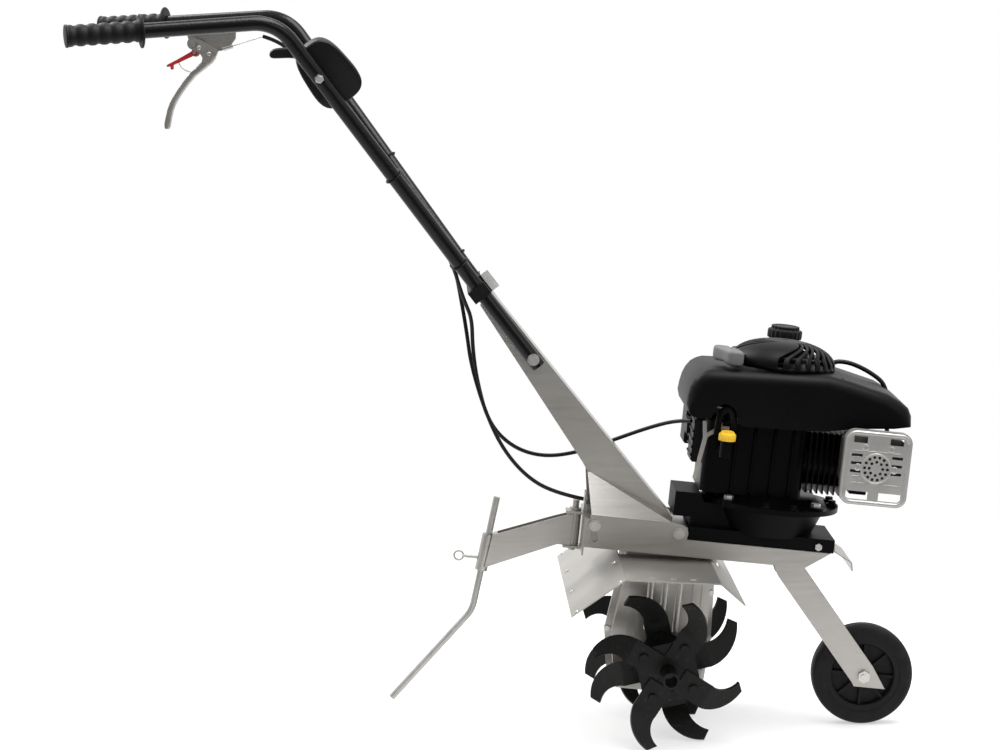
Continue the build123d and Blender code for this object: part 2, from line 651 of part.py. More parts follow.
def tine_side(side):
    """Hub, knives and bolts of one side: -1 is the right side, 1 the left."""
    hub = sleeve((0, side * hub_from, 0), (0, side * hub_to, 0), hub_r, shaft_r + running)
    hub -= across(0, 0, side * shaft_half, side * (hub_to + 1), socket_r)
    knives = []
    bolts = []
    for star, (distance, angle) in enumerate(zip(star_y, star_angle)):
        star_plane = Plane(origin=(0, side * distance, 0), x_dir=(1, 0, 0), z_dir=(0, -1, 0))
        square = extrude(RectangleRounded(hub_plate, hub_plate, 8), -hub_plate_t)
        square = star_plane * Rot(0, 0, angle + 45) * square
        hub += square - across(0, 0, side * hub_from, side * hub_to, shaft_r + running)
        for arm in range(4):
            turn = star_plane * Rot(0, 0, angle + 90 * arm)
            way = 1 if (arm + star) % 2 else -1
            knives.append(turn * tine_blade(way, blade_length[star]))
            hub -= turn * upright(blade_bolt_at, 0, -hub_plate_t - 1, 1, bolt_r)
            stack = blade_t + hub_plate_t
            shank = upright(blade_bolt_at, 0, -hub_plate_t - bolt_head, blade_t + bolt_head, bolt_r)
            hexagon = extrude(RegularPolygon(bolt_flats / 2, 6, major_radius=False), bolt_head)
            bolt = shank + Pos(blade_bolt_at, 0, blade_t) * hexagon
            bolt += Pos(blade_bolt_at, 0, blade_t - stack - bolt_head) * hexagon
            bolts.append(turn * bolt)
    return hub, knives, bolts


hub_right, knives_right, bolts_right = tine_side(-1)
hub_left, knives_left, bolts_left = tine_side(1)
tine_knives = Compound(children=knives_right + knives_left)
tine_bolts = Compound(children=bolts_right + bolts_left)

# Tine guard: a flat sheet over the tines with its front and rear edges folded down
drop = guard_t * 1.1
guard_line = (guard_rear_low, guard_rear, guard_front, guard_front_low)
guard_under = tuple((x, z - drop) for x, z in reversed(guard_line))
tine_guard = plate(guard_line + guard_under, -guard_half, guard_half)
tine_guard -= block(-84, 72, -case_half, case_half, guard_rear[1] - 10, guard_front[1] + 10)
for hole_x in (-44, -14, 14):
    for side in (-1, 1):
        tine_guard -= upright(hole_x, side * (guard_half - 20), 130, 180, 6)

# Engine pan: a low tray on the deck, a bowl under the engine and the belt housing behind it, open below
cover_front = 108.0
cover_points = ((pan_rear, deck_top), (pan_rear, cover_low), (cover_rear, cover_low), (cover_rear, cover_top),
                (28, cover_top), (34, pan_top), (cover_front, pan_top), (cover_front, deck_top))
cover_face = outline(cover_points)
bowl_low = tray_top - 4
bowl_height = pan_top - bowl_low
on_base = (Align.CENTER, Align.CENTER, Align.MIN)
engine_pan = block(pan_rear, pan_front, -pan_half, pan_half, deck_top, tray_top)
engine_pan += slab(cover_face, -cover_half, cover_half)
engine_pan += Pos(crank_x, 0, bowl_low) * Cone(*bowl_r, bowl_height, align=on_base)
bowl_hollow = Cone(bowl_r[0] - sheet, bowl_r[1] - 2 * sheet, bowl_height - 2 * sheet, align=on_base)
engine_pan -= Pos(crank_x, 0, bowl_low + sheet) * bowl_hollow
engine_pan -= slab(offset(cover_face, -sheet), sheet - cover_half, cover_half - sheet)
engine_pan -= block(pan_rear + sheet, pan_front - sheet, sheet - pan_half, pan_half - sheet,
                    deck_top - 1, tray_top - sheet)
engine_pan -= upright(crank_x, 0, tray_top - 6, tray_top + 6, pan_half - sheet)
engine_pan -= upright(crank_x, 0, pan_top - 6, pan_top + 1, crank_r + 4)

bumper_back = tuple((x - bumper_t, z - bumper_t * 0.4) for x, z in reversed(bumper_points))
front_bumper = plate(bumper_points + bumper_back, -pan_half, pan_half)
front_bumper -= block(0, pan_front, -100, 100, 150, 250)

# Belt drive: two grooved pulleys, the belt and the idler that tightens it
belt_low = pulley_z[0] + pulley_flange + play
belt_high = pulley_z[1] - pulley_flange - play


def grooved_pulley(x, radius, bore):
    """A pulley with a square groove, on an upright shaft."""
    wheel = upright(x, 0, pulley_z[0], pulley_z[1], radius)
    groove = (pulley_z[0] + pulley_flange, pulley_z[1] - pulley_flange)
    wheel -= sleeve((x, 0, groove[0]), (x, 0, groove[1]), radius + 1, radius - belt_depth - 1)
    return wheel - upright(x, 0, pulley_z[0] - 1, pulley_z[1] + 1, bore)


def belt_shape(driven, drive):
    """The outline of an open belt round two circles."""
    span = crank_x - worm_x
    lean = math.asin((driven - drive) / span)
    corners = []
    for centre, radius in ((worm_x, driven), (crank_x, drive)):
        corners.append((centre + radius * math.sin(lean), radius * math.cos(lean)))
    run = outline((corners[0], corners[1], (corners[1][0], -corners[1][1]), (corners[0][0], -corners[0][1])))
    return run + Pos(worm_x, 0) * Circle(driven) + Pos(crank_x, 0) * Circle(drive)


driven_pulley = grooved_pulley(worm_x, driven_r, worm_shaft_r)
drive_pulley = grooved_pulley(crank_x, drive_r, crank_r)
belt_flat = belt_shape(driven_r, drive_r) - belt_shape(driven_r - belt_depth, drive_r - belt_depth)
drive_belt = Pos(0, 0, belt_low) * extrude(belt_flat, belt_high - belt_low)

arm_run = math.hypot(idler_rest[0] - idler_pivot[0], idler_rest[1] - idler_pivot[1])
arm_turn = math.degrees(math.atan2(idler_rest[1] - idler_pivot[1], idler_rest[0] - idler_pivot[0]))
idler_flat = Pos(arm_run / 2, 0) * SlotOverall(arm_run + 18, 18)
idler_arm = extrude(idler_flat, idler_arm_t)
idler_arm += upright(arm_run, 0, 0, belt_high - idler_arm_z + 3, idler_pin_r)
idler_arm -= upright(0, 0, -1, idler_arm_t + 1, idler_pin_r + running)
idler_arm = Pos(*idler_pivot, idler_arm_z) * Rot(0, 0, arm_turn) * idler_arm
idler_low = belt_low - 1
idler_pulley = sleeve((*idler_rest, idler_low), (*idler_rest, belt_high), idler_r, idler_pin_r + running)
idler_post = upright(*idler_pivot, deck_top, idler_arm_z + idler_arm_t + 3, idler_pin_r)
idler_post += upright(*idler_pivot, deck_top, idler_arm_z - play, idler_pin_r + 4)
deck += idler_post

# Wheel fork: two flat legs joined at the top by the pivot sleeve and a cross plate
leg_way = (Vector(axle_x, axle_z) - Vector(*fork_pivot)).normalized()
leg_side = Vector(-leg_way.Y, leg_way.X)


def on_leg(along, aside):
    """A side-view point measured down the fork leg from its pivot and across it."""
    spot = Vector(*fork_pivot) + leg_way * along + leg_side * aside
    return (spot.X, spot.Y)


axle_run = (Vector(axle_x, axle_z) - Vector(*fork_pivot)).length
foot_left = on_leg(axle_run - 3, -fork_half)
foot_right = on_leg(axle_run + 30, fork_half)
leg_points = (on_leg(0, -fork_eye_r), on_leg(fork_taper, -fork_half), foot_left,
              (foot_left[0] + 4, axle_z - fork_toe), (foot_right[0], axle_z - fork_toe),
              on_leg(axle_run - 4, fork_half), on_leg(fork_taper, fork_half), on_leg(0, fork_eye_r))
leg = plate(leg_points, -fork_gap - fork_t, -fork_gap)
leg += across(*fork_pivot, -fork_gap - fork_t, -fork_gap, fork_eye_r)
wheel_fork = both(leg) + across(*fork_pivot, -fork_gap, fork_gap, fork_eye_r)
tie_points = (on_leg(fork_taper, -3), on_leg(fork_taper + 40, -3), on_leg(fork_taper + 40, 0),
              on_leg(fork_taper, 0))
wheel_fork += plate(tie_points, -fork_gap, fork_gap)
wheel_fork -= across(*fork_pivot, -deck_half, deck_half, fork_pin_r + running)
wheel_fork -= across(axle_x, axle_z, -deck_half, deck_half, axle_r)
fork_outside = fork_gap + fork_t
axle_hex = extrude(RegularPolygon(8.5, 6, major_radius=False), 7)
axle_bolt = across(axle_x, axle_z, -fork_outside - 9, fork_outside + 9, axle_r)
axle_bolt += both(Plane(origin=(axle_x, -fork_outside, axle_z), z_dir=(0, -1, 0)) * axle_hex)

# Wheel: a ribbed plastic rim and its tyre
hub_half = fork_gap - play
rim = across(axle_x, axle_z, -hub_half, hub_half, 15)
rim += sleeve((axle_x, 1 - tyre_half, axle_z), (axle_x, tyre_half - 1, axle_z), rim_r, rim_r - 8)
rim += across(axle_x, axle_z, -4, 4, rim_r - 4)
rib_count = 8
for rib in range(rib_count):
    spoke = block(12, rim_r - 5, -11, 11, -2, 2)
    rim += Pos(axle_x, 0, axle_z) * Rot(0, rib * 360 / rib_count, 0) * spoke
rim -= across(axle_x, axle_z, -hub_half - 1, hub_half + 1, axle_r + running)
tyre_edge = 6.0
tyre = across(axle_x, axle_z, -tyre_half, tyre_half, tyre_r)
tyre = fillet(tyre.edges().filter_by(GeomType.CIRCLE), tyre_edge)
tyre -= across(axle_x, axle_z, -tyre_half - 1, tyre_half + 1, rim_r)

# Engine sump, crankcase and finned cylinder
sump = upright(crank_x + sump_ahead, 0, pan_top, pan_top + sump_flange, sump_r)
sump_dish = Cone(sump_r - 12, sump_r - 32, sump_top - pan_top - sump_flange, align=on_base)
sump += Pos(crank_x, 0, pan_top + sump_flange) * sump_dish
for corner in (45, 135, 225, 315):
    lug = Pos(sump_lug_r - 12, 0) * Circle(12) + Pos(sump_lug_r / 2, 0) * Rectangle(sump_lug_r - 12, 24)
    sump += Pos(crank_x, 0, pan_top) * Rot(0, 0, corner) * extrude(lug, sump_lug)
sump -= upright(crank_x, 0, pan_top - 1, sump_top + 1, crank_r + running)

crankcase = block(*case_x, -case_y, case_y, sump_top, block_top)
crankcase = fillet(crankcase.edges().filter_by(Axis.Z), 16)
crankcase -= block(case_x[0] + block_wall, case_x[1] - block_wall, block_wall - case_y, case_y - block_wall,
                   sump_top + block_wall, block_top - block_wall)
crankcase -= upright(crank_x, 0, sump_top - 1, sump_top + block_wall + 1, 40)
crankcase -= upright(crank_x, 0, block_top - block_wall - 1, block_top + 1, crank_r + running)
barrel = rod((case_x[1] - 1, 0, cylinder_z), (head_x[0], 0, cylinder_z), cylinder_r)
fin_x = case_x[1] + 5
while fin_x < head_x[0] - fin_t:
    barrel += block(fin_x, fin_x + fin_t, -fin_half, fin_half, cylinder_z - 46, cylinder_z + 46)
    fin_x += fin_pitch
crankcase += barrel
crankcase -= rod((case_x[1] - block_wall - 1, 0, cylinder_z), (head_x[0] + 1, 0, cylinder_z), cylinder_bore)
head = block(*head_x, -fin_half + 4, fin_half - 4, cylinder_z - 42, cylinder_z + 42)
for slot in range(5):
    slot_z = cylinder_z - 34 + slot * 15
    head -= block(head_x[0] + 8, head_x[1] + 1, -fin_half, fin_half, slot_z, slot_z + 7)
plug = rod((head_x[0] + 8, 0, cylinder_z), (head_x[1] + 14, 0, cylinder_z), 9)
plug += rod((head_x[1] + 14, 0, cylinder_z), (spark_route[-1][0], 0, cylinder_z), 6)
head -= rod((head_x[0] + 8, 0, cylinder_z), (head_x[1] + 20, 0, cylinder_z), 9)

# Crankshaft with its webs and pin, and the flywheel with its fan
web_z = ((296.0, 305.0), (339.0, 348.0))
throw = 17.0
crankshaft = upright(crank_x, 0, pulley_z[0] - 3, web_z[0][1], crank_r)
crankshaft += upright(crank_x, 0, web_z[1][0], flywheel_z[1] + 30, crank_r)
for low_z, high_z in web_z:
    crankshaft += upright(crank_x, 0, low_z, high_z, 32)
crankshaft += upright(crank_x + throw, 0, web_z[0][0], web_z[1][1], 10)
flywheel = upright(crank_x, 0, *flywheel_z, flywheel_r)
for vane in range(12):
    blade = Rot(0, 0, vane * 30) * block(34, flywheel_r - 2, -1.5, 1.5, flywheel_z[1] - 1, flywheel_z[1] + 24)
    flywheel += Pos(crank_x, 0, 0) * blade
flywheel -= upright(crank_x, 0, flywheel_z[0] - 1, flywheel_z[1] + 1, crank_r)

# Blower housing, hollow and open below, on two feet
shroud_face = outline(shroud_outline)
blower_housing = slab(shroud_face, -shroud_half, shroud_half)
side_edges = blower_housing.faces().filter_by(Axis.Y).edges()
top_edges = side_edges.filter_by(lambda edge: edge.center().Z > 425)
blower_housing = fillet(top_edges, shroud_round)
shroud_hollow = slab(offset(shroud_face, -shroud_wall), shroud_wall - shroud_half, shroud_half - shroud_wall)
hollow_edges = shroud_hollow.faces().filter_by(Axis.Y).edges().filter_by(lambda edge: edge.center().Z > 422)
blower_housing -= fillet(hollow_edges, shroud_round - shroud_wall)
blower_housing -= block(30, 196, shroud_wall - shroud_half, shroud_half - shroud_wall, block_top - 2, 384)
blower_housing -= upright(crank_x, 0, dome_base - 20, dome_base + 10, dome_r - 10)
for hole in spark_holes:
    blower_housing -= upright(*hole, 2 * spark_r)
for foot_x in (40, 150):
    blower_housing += both(block(foot_x, foot_x + 18, case_y - 10, shroud_half - 1, block_top, block_top + 6))

# Recoil cover, a slotted dome with the reel's post, over the opening
dome_outside = ((dome_r, dome_base), (dome_r, dome_base + 10), (dome_r - 8, dome_top - 14),
                (dome_r - 24, dome_top - 4), (22, dome_top), (0, dome_top))
dome_inside = ((0, dome_top - dome_wall), (22, dome_top - dome_wall), (dome_r - 25, dome_top - 4 - dome_wall),
               (dome_r - 10.4, dome_top - 15), (dome_r - dome_wall, dome_base + 9),
               (dome_r - dome_wall, dome_base))
dome_profile = dome_outside + dome_inside
recoil_cover = revolve(Plane.XZ * outline(dome_profile), Axis.Z, 360)
for slot in range(dome_slots):
    slit = Pos(48, 0, dome_top) * Rot(0, 0, 38) * Box(34, 4, 60)
    recoil_cover -= Rot(0, 0, slot * 360 / dome_slots) * slit
recoil_cover += upright(0, 0, reel_z[1] + play, dome_top - 1, post_r + 6)
recoil_cover += upright(0, 0, reel_z[0] - 4, dome_top - 1, post_r)
recoil_cover += upright(0, 0, reel_z[0] - 4, reel_z[0] - play, post_r + 3)
recoil_cover = Pos(crank_x, 0, 0) * recoil_cover
recoil_cover -= rod((rope_x[0], rope_y, rope_z), (crank_x, rope_y, rope_z), rope_r + 1)
starter_reel = sleeve((crank_x, 0, reel_z[0]), (crank_x, 0, reel_z[1]), reel_r, post_r + running)
starter_rope = rod((rope_x[0], rope_y, rope_z), (rope_x[1], rope_y, rope_z), rope_r)
starter_grip = block(*pull_grip[0], *pull_grip[1], *pull_grip[2])
starter_grip = fillet(starter_grip.edges(), 6)
starter_grip -= rod((rope_x[0], rope_y, rope_z), (rope_x[0] + 10, rope_y, rope_z), rope_r)

# Fuel tank with its cap, intake with its cleaner, control bracket
fuel_tank = fillet(block(*tank_x, *tank_y, *tank_z).edges().filter_by(Axis.Z), 20)
fuel_tank = fuel_tank + upright(*neck_at, tank_z[1] - 1, cap_z[0] + 12, neck_r)
fuel_tank -= upright(*neck_at, tank_z[1] - 30, cap_z[0] + 13, neck_r - 3)
tank_wall = 3.0
fuel_tank -= block(tank_x[0] + tank_wall + 4, tank_x[1] - tank_wall - 4, tank_y[0] + tank_wall + 4,
                   tank_y[1] - tank_wall - 4, tank_z[0] + tank_wall, tank_z[1] - tank_wall)
fuel_cap = upright(*neck_at, *cap_z, cap_r) - upright(*neck_at, cap_z[0] - 1, cap_z[0] + 13, neck_r + play)
for knurl in range(16):
    notch = block(cap_r - 1.2, cap_r + 2, -1.6, 1.6, 0, 16)
    fuel_cap -= Pos(*neck_at, cap_z[0] - 1) * Rot(0, 0, knurl * 22.5) * notch
intake = block(9, case_x[0], -26, 34, 302, 368)
intake += block(4, 66, case_y, 118, 316, block_top)
intake += block(4, case_x[0], 30, case_y + 2, 334, 360)
bracket_points = ((11, 283), (17, 283), (27, 347), (45, 360), (58, 360), (58, 366), (47, 366), (47, 371),
                  (41, 371), (40, 364), (25, 353), (23, 371), (17, 371), (20, 346))
control_bracket = plate(bracket_points, -case_y - 2, -case_y)

# Oil filler with its yellow cap and dipstick
oil_filler = rod((filler_at[0], -case_y, filler_z), (filler_at[0], filler_at[1], filler_z), filler_r)
oil_filler += upright(*filler_at, filler_z - filler_r, oil_cap_z[0] + 6, filler_r)
oil_filler -= upright(*filler_at, filler_z, oil_cap_z[0] + 7, filler_r - 2.5)
crankcase += oil_filler
oil_cap = upright(*filler_at, *oil_cap_z, oil_cap_r)
oil_cap -= upright(*filler_at, oil_cap_z[0] - 1, oil_cap_z[0] + 6 + play, filler_r + play)
oil_cap += upright(*filler_at, filler_z + 2, oil_cap_z[1] - 2, 1.5)

# Muffler with its pipe, and the stamped heat shield on three studs
muffler = fillet(block(*muffler_x, *muffler_y, *muffler_z).edges().filter_by(Axis.Y), 14)
pipe_x = head_x[0] + 13
muffler += across(pipe_x, cylinder_z, muffler_y[1] - 2, 4 - fin_half, 11)
muffler_wall = 2.0
muffler_wall_end = 3 * muffler_wall
muffler -= block(muffler_x[0] + muffler_wall_end, muffler_x[1] - muffler_wall_end,
                 muffler_y[0] + muffler_wall, muffler_y[1] - muffler_wall,
                 muffler_z[0] + muffler_wall_end, muffler_z[1] - muffler_wall_end)
muffler -= across(pipe_x, cylinder_z, muffler_y[1] - 10, -fin_half, 9)
shield_mid = ((shield_x[0] + shield_x[1]) / 2, (shield_z[0] + shield_z[1]) / 2)
shield_flat = Pos(*shield_mid) * RectangleRounded(shield_x[1] - shield_x[0], shield_z[1] - shield_z[0], 16)
muffler_shield = slab(shield_flat, shield_y, shield_y + shield_rim)
muffler_shield -= slab(offset(shield_flat, -shield_t), shield_y + shield_t, shield_y + shield_rim + 1)
for ring_r, ring_count in ((17, 14), (10, 8)):
    for spot in range(ring_count):
        angle = 2 * math.pi * spot / ring_count
        hole_x = shield_mid[0] + ring_r * math.cos(angle)
        hole_z = shield_mid[1] + ring_r * math.sin(angle)
        muffler_shield -= across(hole_x, hole_z, shield_y - 1, shield_y + 3, 2.2)
for louvre_x in (shield_x[0] + 12, shield_x[1] - 28):
    for louvre_z in (shield_mid[1] - 8, shield_mid[1] + 4, shield_mid[1] + 16):
        muffler_shield -= block(louvre_x, louvre_x + 16, shield_y - 1, shield_y + 3, louvre_z, louvre_z + 4)
low_window = (shield_z[0] + 8, shield_z[0] + 20)
high_window = (shield_z[1] - 19, shield_z[1] - 9)
for window_x in (shield_x[0] + 9, shield_x[1] - 42):
    muffler_shield -= block(window_x, window_x + 33, shield_y - 1, shield_y + 3, *low_window)
for window_x in (shield_x[0] + 13, shield_x[1] - 33):
    muffler_shield -= block(window_x, window_x + 20, shield_y - 1, shield_y + 3, *high_window)
shield_studs = ((shield_x[0] + 16, shield_z[1] - 29), (shield_x[1] - 16, shield_z[1] - 29),
                (shield_mid[0], shield_z[0] + 27))
for stud_x, stud_z in shield_studs:
    muffler_shield += across(stud_x, stud_z, shield_y + shield_t - 0.5, muffler_y[0], 5)

spark_lead = tube_run(spark_route, spark_r) + plug

# Bolts of the frame: handle pivot, height bolts, pan bolts and engine bolts
seat_y = flange_out + play
frame_bolts = [hex_bolt((0, -seat_y, pivot_z), (0, -1, 0), 2 * seat_y)]
frame_bolts.append(hex_bolt((height_bolt_x, -seat_y, pivot_z), (0, -1, 0), 2 * seat_y))
for corner in (45, 135, 225, 315):
    bolt_x = crank_x + (sump_lug_r - 12) * math.cos(math.radians(corner))
    bolt_y = (sump_lug_r - 12) * math.sin(math.radians(corner))
    sump_hex = extrude(RegularPolygon(bolt_flats / 2, 6, major_radius=False), bolt_head)
    frame_bolts.append(Pos(bolt_x, bolt_y, pan_top + sump_lug) * sump_hex)
for side in (-1, 1):
    pan_bolt = Plane(origin=(pan_front - 24, side * pan_half, 197), z_dir=(0, side, 0))
    frame_bolts.append(pan_bolt * extrude(RegularPolygon(5, 6, major_radius=False), 4))
frame_bolts = Compound(children=frame_bolts + case_bolts)

# The tines stand free of the machine's tilt, because they may stop at any turn
turning = {"tine_shaft": tine_shaft, "tine_hub_right": hub_right, "tine_hub_left": hub_left,
           "tine_knives": tine_knives, "tine_bolts": tine_bolts,
           "worm_wheel": worm_wheel}
level = {"deck": deck, "hitch_bracket": hitch_bracket, "handle_column": handle_column,
         "column_cap": column_cap, "handlebar_right": handlebars[-1], "handlebar_left": handlebars[1],
         "grips": Compound(children=[grip(-1), grip(1)]), "handle_bolts": handle_bolts,
         "clutch_bracket": clutch_bracket, "clutch_lever": clutch_lever, "safety_catch": safety_catch,
         "throttle_housing": throttle_housing, "throttle_lever": throttle_lever, "clutch_cable": clutch_cable,
         "throttle_cable": throttle_cable, "drag_arm": drag_arm, "stake_pin": stake_pin,
         "hinge_pins": hinge_pins, "drag_stake": drag_stake, "gear_case_right": gear_case_right,
         "gear_case_left": gear_case_left,
         "shaft_bearings": shaft_bearings, "worm_shaft": worm_shaft,
         "tine_guard": tine_guard, "engine_pan": engine_pan, "front_bumper": front_bumper,
         "driven_pulley": driven_pulley, "drive_pulley": drive_pulley, "drive_belt": drive_belt,
         "idler_arm": idler_arm, "idler_pulley": idler_pulley, "wheel_fork": wheel_fork,
         "axle_bolt": axle_bolt, "wheel_rim": rim, "tyre": tyre, "sump": sump,
         "crankcase": crankcase, "cylinder_head": head, "crankshaft": crankshaft,
         "flywheel": flywheel, "blower_housing": blower_housing, "recoil_cover": recoil_cover,
         "starter_reel": starter_reel, "starter_rope": starter_rope, "starter_grip": starter_grip,
         "fuel_tank": fuel_tank, "fuel_cap": fuel_cap, "intake": intake, "control_bracket": control_bracket,
         "oil_cap": oil_cap, "muffler": muffler, "muffler_shield": muffler_shield,
         "spark_lead": spark_lead, "frame_bolts": frame_bolts}

# Tip the machine until the wheel and the lowest tine tips share one ground line, then centre it
tine_reach = -min(piece.bounding_box().min.Z for piece in turning.values())
axle_far = math.hypot(axle_x, axle_z)
pitch = math.degrees(math.atan2(axle_z, axle_x) - math.asin((tyre_r - tine_reach) / axle_far))
standing = {name: Rot(0, pitch, 0) * piece for name, piece in level.items()}
standing.update(turning)
rear_end = standing["grips"].bounding_box().min.X
front_end = standing["tyre"].bounding_box().max.X
stand = Pos(-(rear_end + front_end) / 2, 0, tine_reach)
print("pitch", round(pitch, 6), "stand", tuple(round(value, 6) for value in stand.position))

os.makedirs("parts", exist_ok=True)
for name, piece in standing.items():
    export_step(stand * piece, f"parts/{name}.step")
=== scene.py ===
import json
import math

import bmesh
import bpy
from mathutils import Matrix, Vector

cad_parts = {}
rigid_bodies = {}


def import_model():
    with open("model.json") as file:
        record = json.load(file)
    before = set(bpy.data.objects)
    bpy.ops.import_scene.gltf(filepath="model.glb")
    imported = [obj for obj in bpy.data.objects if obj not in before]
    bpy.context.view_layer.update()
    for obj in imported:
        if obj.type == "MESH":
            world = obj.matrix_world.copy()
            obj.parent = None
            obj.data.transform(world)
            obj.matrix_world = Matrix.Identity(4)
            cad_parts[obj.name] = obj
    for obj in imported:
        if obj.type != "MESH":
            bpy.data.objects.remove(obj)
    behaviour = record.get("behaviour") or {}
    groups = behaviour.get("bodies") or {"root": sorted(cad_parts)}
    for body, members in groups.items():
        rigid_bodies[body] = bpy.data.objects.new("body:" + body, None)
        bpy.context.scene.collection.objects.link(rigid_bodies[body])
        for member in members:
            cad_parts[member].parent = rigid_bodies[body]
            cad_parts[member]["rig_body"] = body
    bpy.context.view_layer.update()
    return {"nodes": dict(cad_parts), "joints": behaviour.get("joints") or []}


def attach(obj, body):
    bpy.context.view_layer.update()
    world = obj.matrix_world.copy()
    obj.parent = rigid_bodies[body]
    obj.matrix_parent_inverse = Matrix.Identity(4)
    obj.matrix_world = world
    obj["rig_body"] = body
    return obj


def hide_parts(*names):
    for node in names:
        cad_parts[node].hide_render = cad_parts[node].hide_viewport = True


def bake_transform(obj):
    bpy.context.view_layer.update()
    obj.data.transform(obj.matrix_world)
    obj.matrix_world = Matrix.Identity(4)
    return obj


# The whole tiller, as packed. It is measured in its own level frame, in millimetres: the origin lies on
# the tine shaft at mid width, x runs ahead to the wheel, y to the left and z up, square to the deck.
for item in list(bpy.data.objects):
    bpy.data.objects.remove(item)
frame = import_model()
joints = {joint["name"]: joint for joint in frame["joints"]}
up = Vector(joints["worm_spin"]["axis"])
left = Vector((0, 1, 0))
ahead = left.cross(up)
level = Matrix.Translation(joints["tine_spin"]["pos_m"]) @ Matrix((ahead, left, up)).transposed().to_4x4()


def at(x, y, z):
    """A point of the machine, in metres of the scene."""
    return level @ (Vector((x, y, z)) / 1000)


# Deck and hitch bracket: channels folded from galvanised sheet, the bracket welded to the deck's tail.
# The zinc keeps a faint rolling grain along the machine and a dull bloom.
class Wire:
    """One value in a shader, which adds and multiplies like a number."""

    def __init__(self, tree, socket):
        self.tree = tree
        self.socket = socket

    def node(self, kind, out, inputs, **settings):
        made = self.tree.nodes.new("ShaderNode" + kind)
        for key, value in settings.items():
            setattr(made, key, value)
        for key, value in inputs.items():
            if isinstance(value, Wire):
                self.tree.links.new(value.socket, made.inputs[key])
            else:
                made.inputs[key].default_value = value
        return Wire(self.tree, made.outputs[out])

    def __add__(self, other):
        return self.node("Math", 0, {0: self, 1: other}, operation="ADD")

    def __radd__(self, other):
        return self.node("Math", 0, {0: other, 1: self}, operation="ADD")

    def __mul__(self, other):
        return self.node("Math", 0, {0: self, 1: other}, operation="MULTIPLY")

    def __rmul__(self, other):
        return self.node("Math", 0, {0: other, 1: self}, operation="MULTIPLY")

    def noise(self, scale, stretch=(1, 1, 1)):
        spread = self.node("Mapping", "Vector", {"Vector": self, "Scale": stretch})
        return self.node("TexNoise", "Fac", {"Vector": spread, "Scale": scale, "Detail": 4.0})

    def step(self, low, high):
        return self.node("MapRange", "Result", {"Value": self, "From Min": low, "From Max": high})

    def tint(self, dark, light):
        return self.node("Mix", 2, {0: self, 6: (*dark, 1), 7: (*light, 1)}, data_type="RGBA")

    def bump(self, depth):
        return self.node("Bump", "Normal", {"Height": self, "Distance": depth, "Strength": 1.0})


class Surface:
    """A material being made; the record's slot given with it is kept but not used."""

    def __init__(self, name, slot):
        self.slot = slot
        self.material = bpy.data.materials.new(name)
        self.material.use_nodes = True
        self.tree = self.material.node_tree
        self.shader = self.tree.nodes["Principled BSDF"]
        self.place = Wire(self.tree, self.tree.nodes.new("ShaderNodeTexCoord").outputs["Object"])

    def set(self, **values):
        inputs = {socket.name.lower().replace(" ", "_"): socket for socket in self.shader.inputs}
        for key, value in values.items():
            if isinstance(value, Wire):
                self.tree.links.new(value.socket, inputs[key])
            else:
                inputs[key].default_value = value

    def coat(self, *pieces):
        for piece in pieces:
            if isinstance(piece, str):
                shown = frame["nodes"][piece]
            else:
                shown = piece
            shown.data.materials.clear()
            shown.data.materials.append(self.material)


def smooth(mesh, angle):
    """Smooth shading with the sharper edges kept."""
    mesh.polygons.foreach_set("use_smooth", [True] * len(mesh.polygons))
    mesh.set_sharp_from_angle(angle=math.radians(angle))


def softened(node, width):
    """A built piece with its sharp edges eased by a small bevel, shown in place of the sharp one."""
    mesh = frame["nodes"][node].data.copy()
    if "custom_normal" in mesh.attributes:
        mesh.attributes.remove(mesh.attributes["custom_normal"])
    work = bmesh.new()
    work.from_mesh(mesh)
    bmesh.ops.remove_doubles(work, verts=work.verts, dist=1e-5)
    bmesh.ops.dissolve_limit(work, angle_limit=math.radians(1), verts=work.verts, edges=work.edges)
    sharp = [edge for edge in work.edges if edge.is_manifold and edge.calc_face_angle() > math.radians(35)]
    bmesh.ops.bevel(work, geom=sharp, offset=width / 1000, segments=2, affect="EDGES", clamp_overlap=True)
    work.to_mesh(mesh)
    work.free()
    smooth(mesh, 28)
    piece = bpy.data.objects.new(node + "_eased", mesh)
    bpy.context.scene.collection.objects.link(piece)
    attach(piece, frame["nodes"][node]["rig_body"])
    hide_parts(node)
    return piece


zinc = Surface("zinc_sheet", "zinc_steel")
bloom = zinc.place.noise(9)
grain = zinc.place.noise(160, (0.06, 1, 1))
zinc.set(
    base_color=(0.7 * bloom + 0.3 * grain).step(0.3, 0.7).tint((0.385, 0.368, 0.343), (0.49, 0.473, 0.446)),
    metallic=0.92,
    roughness=0.27 + 0.1 * bloom + 0.08 * grain,
    normal=(0.6 * grain + 0.4 * zinc.place.noise(900)).bump(0.0003),
)
deck = softened("deck", 1.2)
hitch = softened("hitch_bracket", 0.8)
zinc.coat(deck, hitch)

# Bolts and bearings: plated hexagon heads and turned rings, brighter than the sheet under them and
# slightly yellow. The hinge pins are as dull as the sheet they join.
plated = Surface("plated_steel", "bright_steel")
speck = plated.place.noise(300)
plated.set(
    base_color=speck.tint((0.5, 0.49, 0.46), (0.66, 0.65, 0.62)),
    metallic=0.9,
    roughness=0.24 + 0.16 * speck,
    normal=speck.bump(0.0002),
)
plated.coat("frame_bolts", "shaft_bearings")
zinc.coat("hinge_pins")


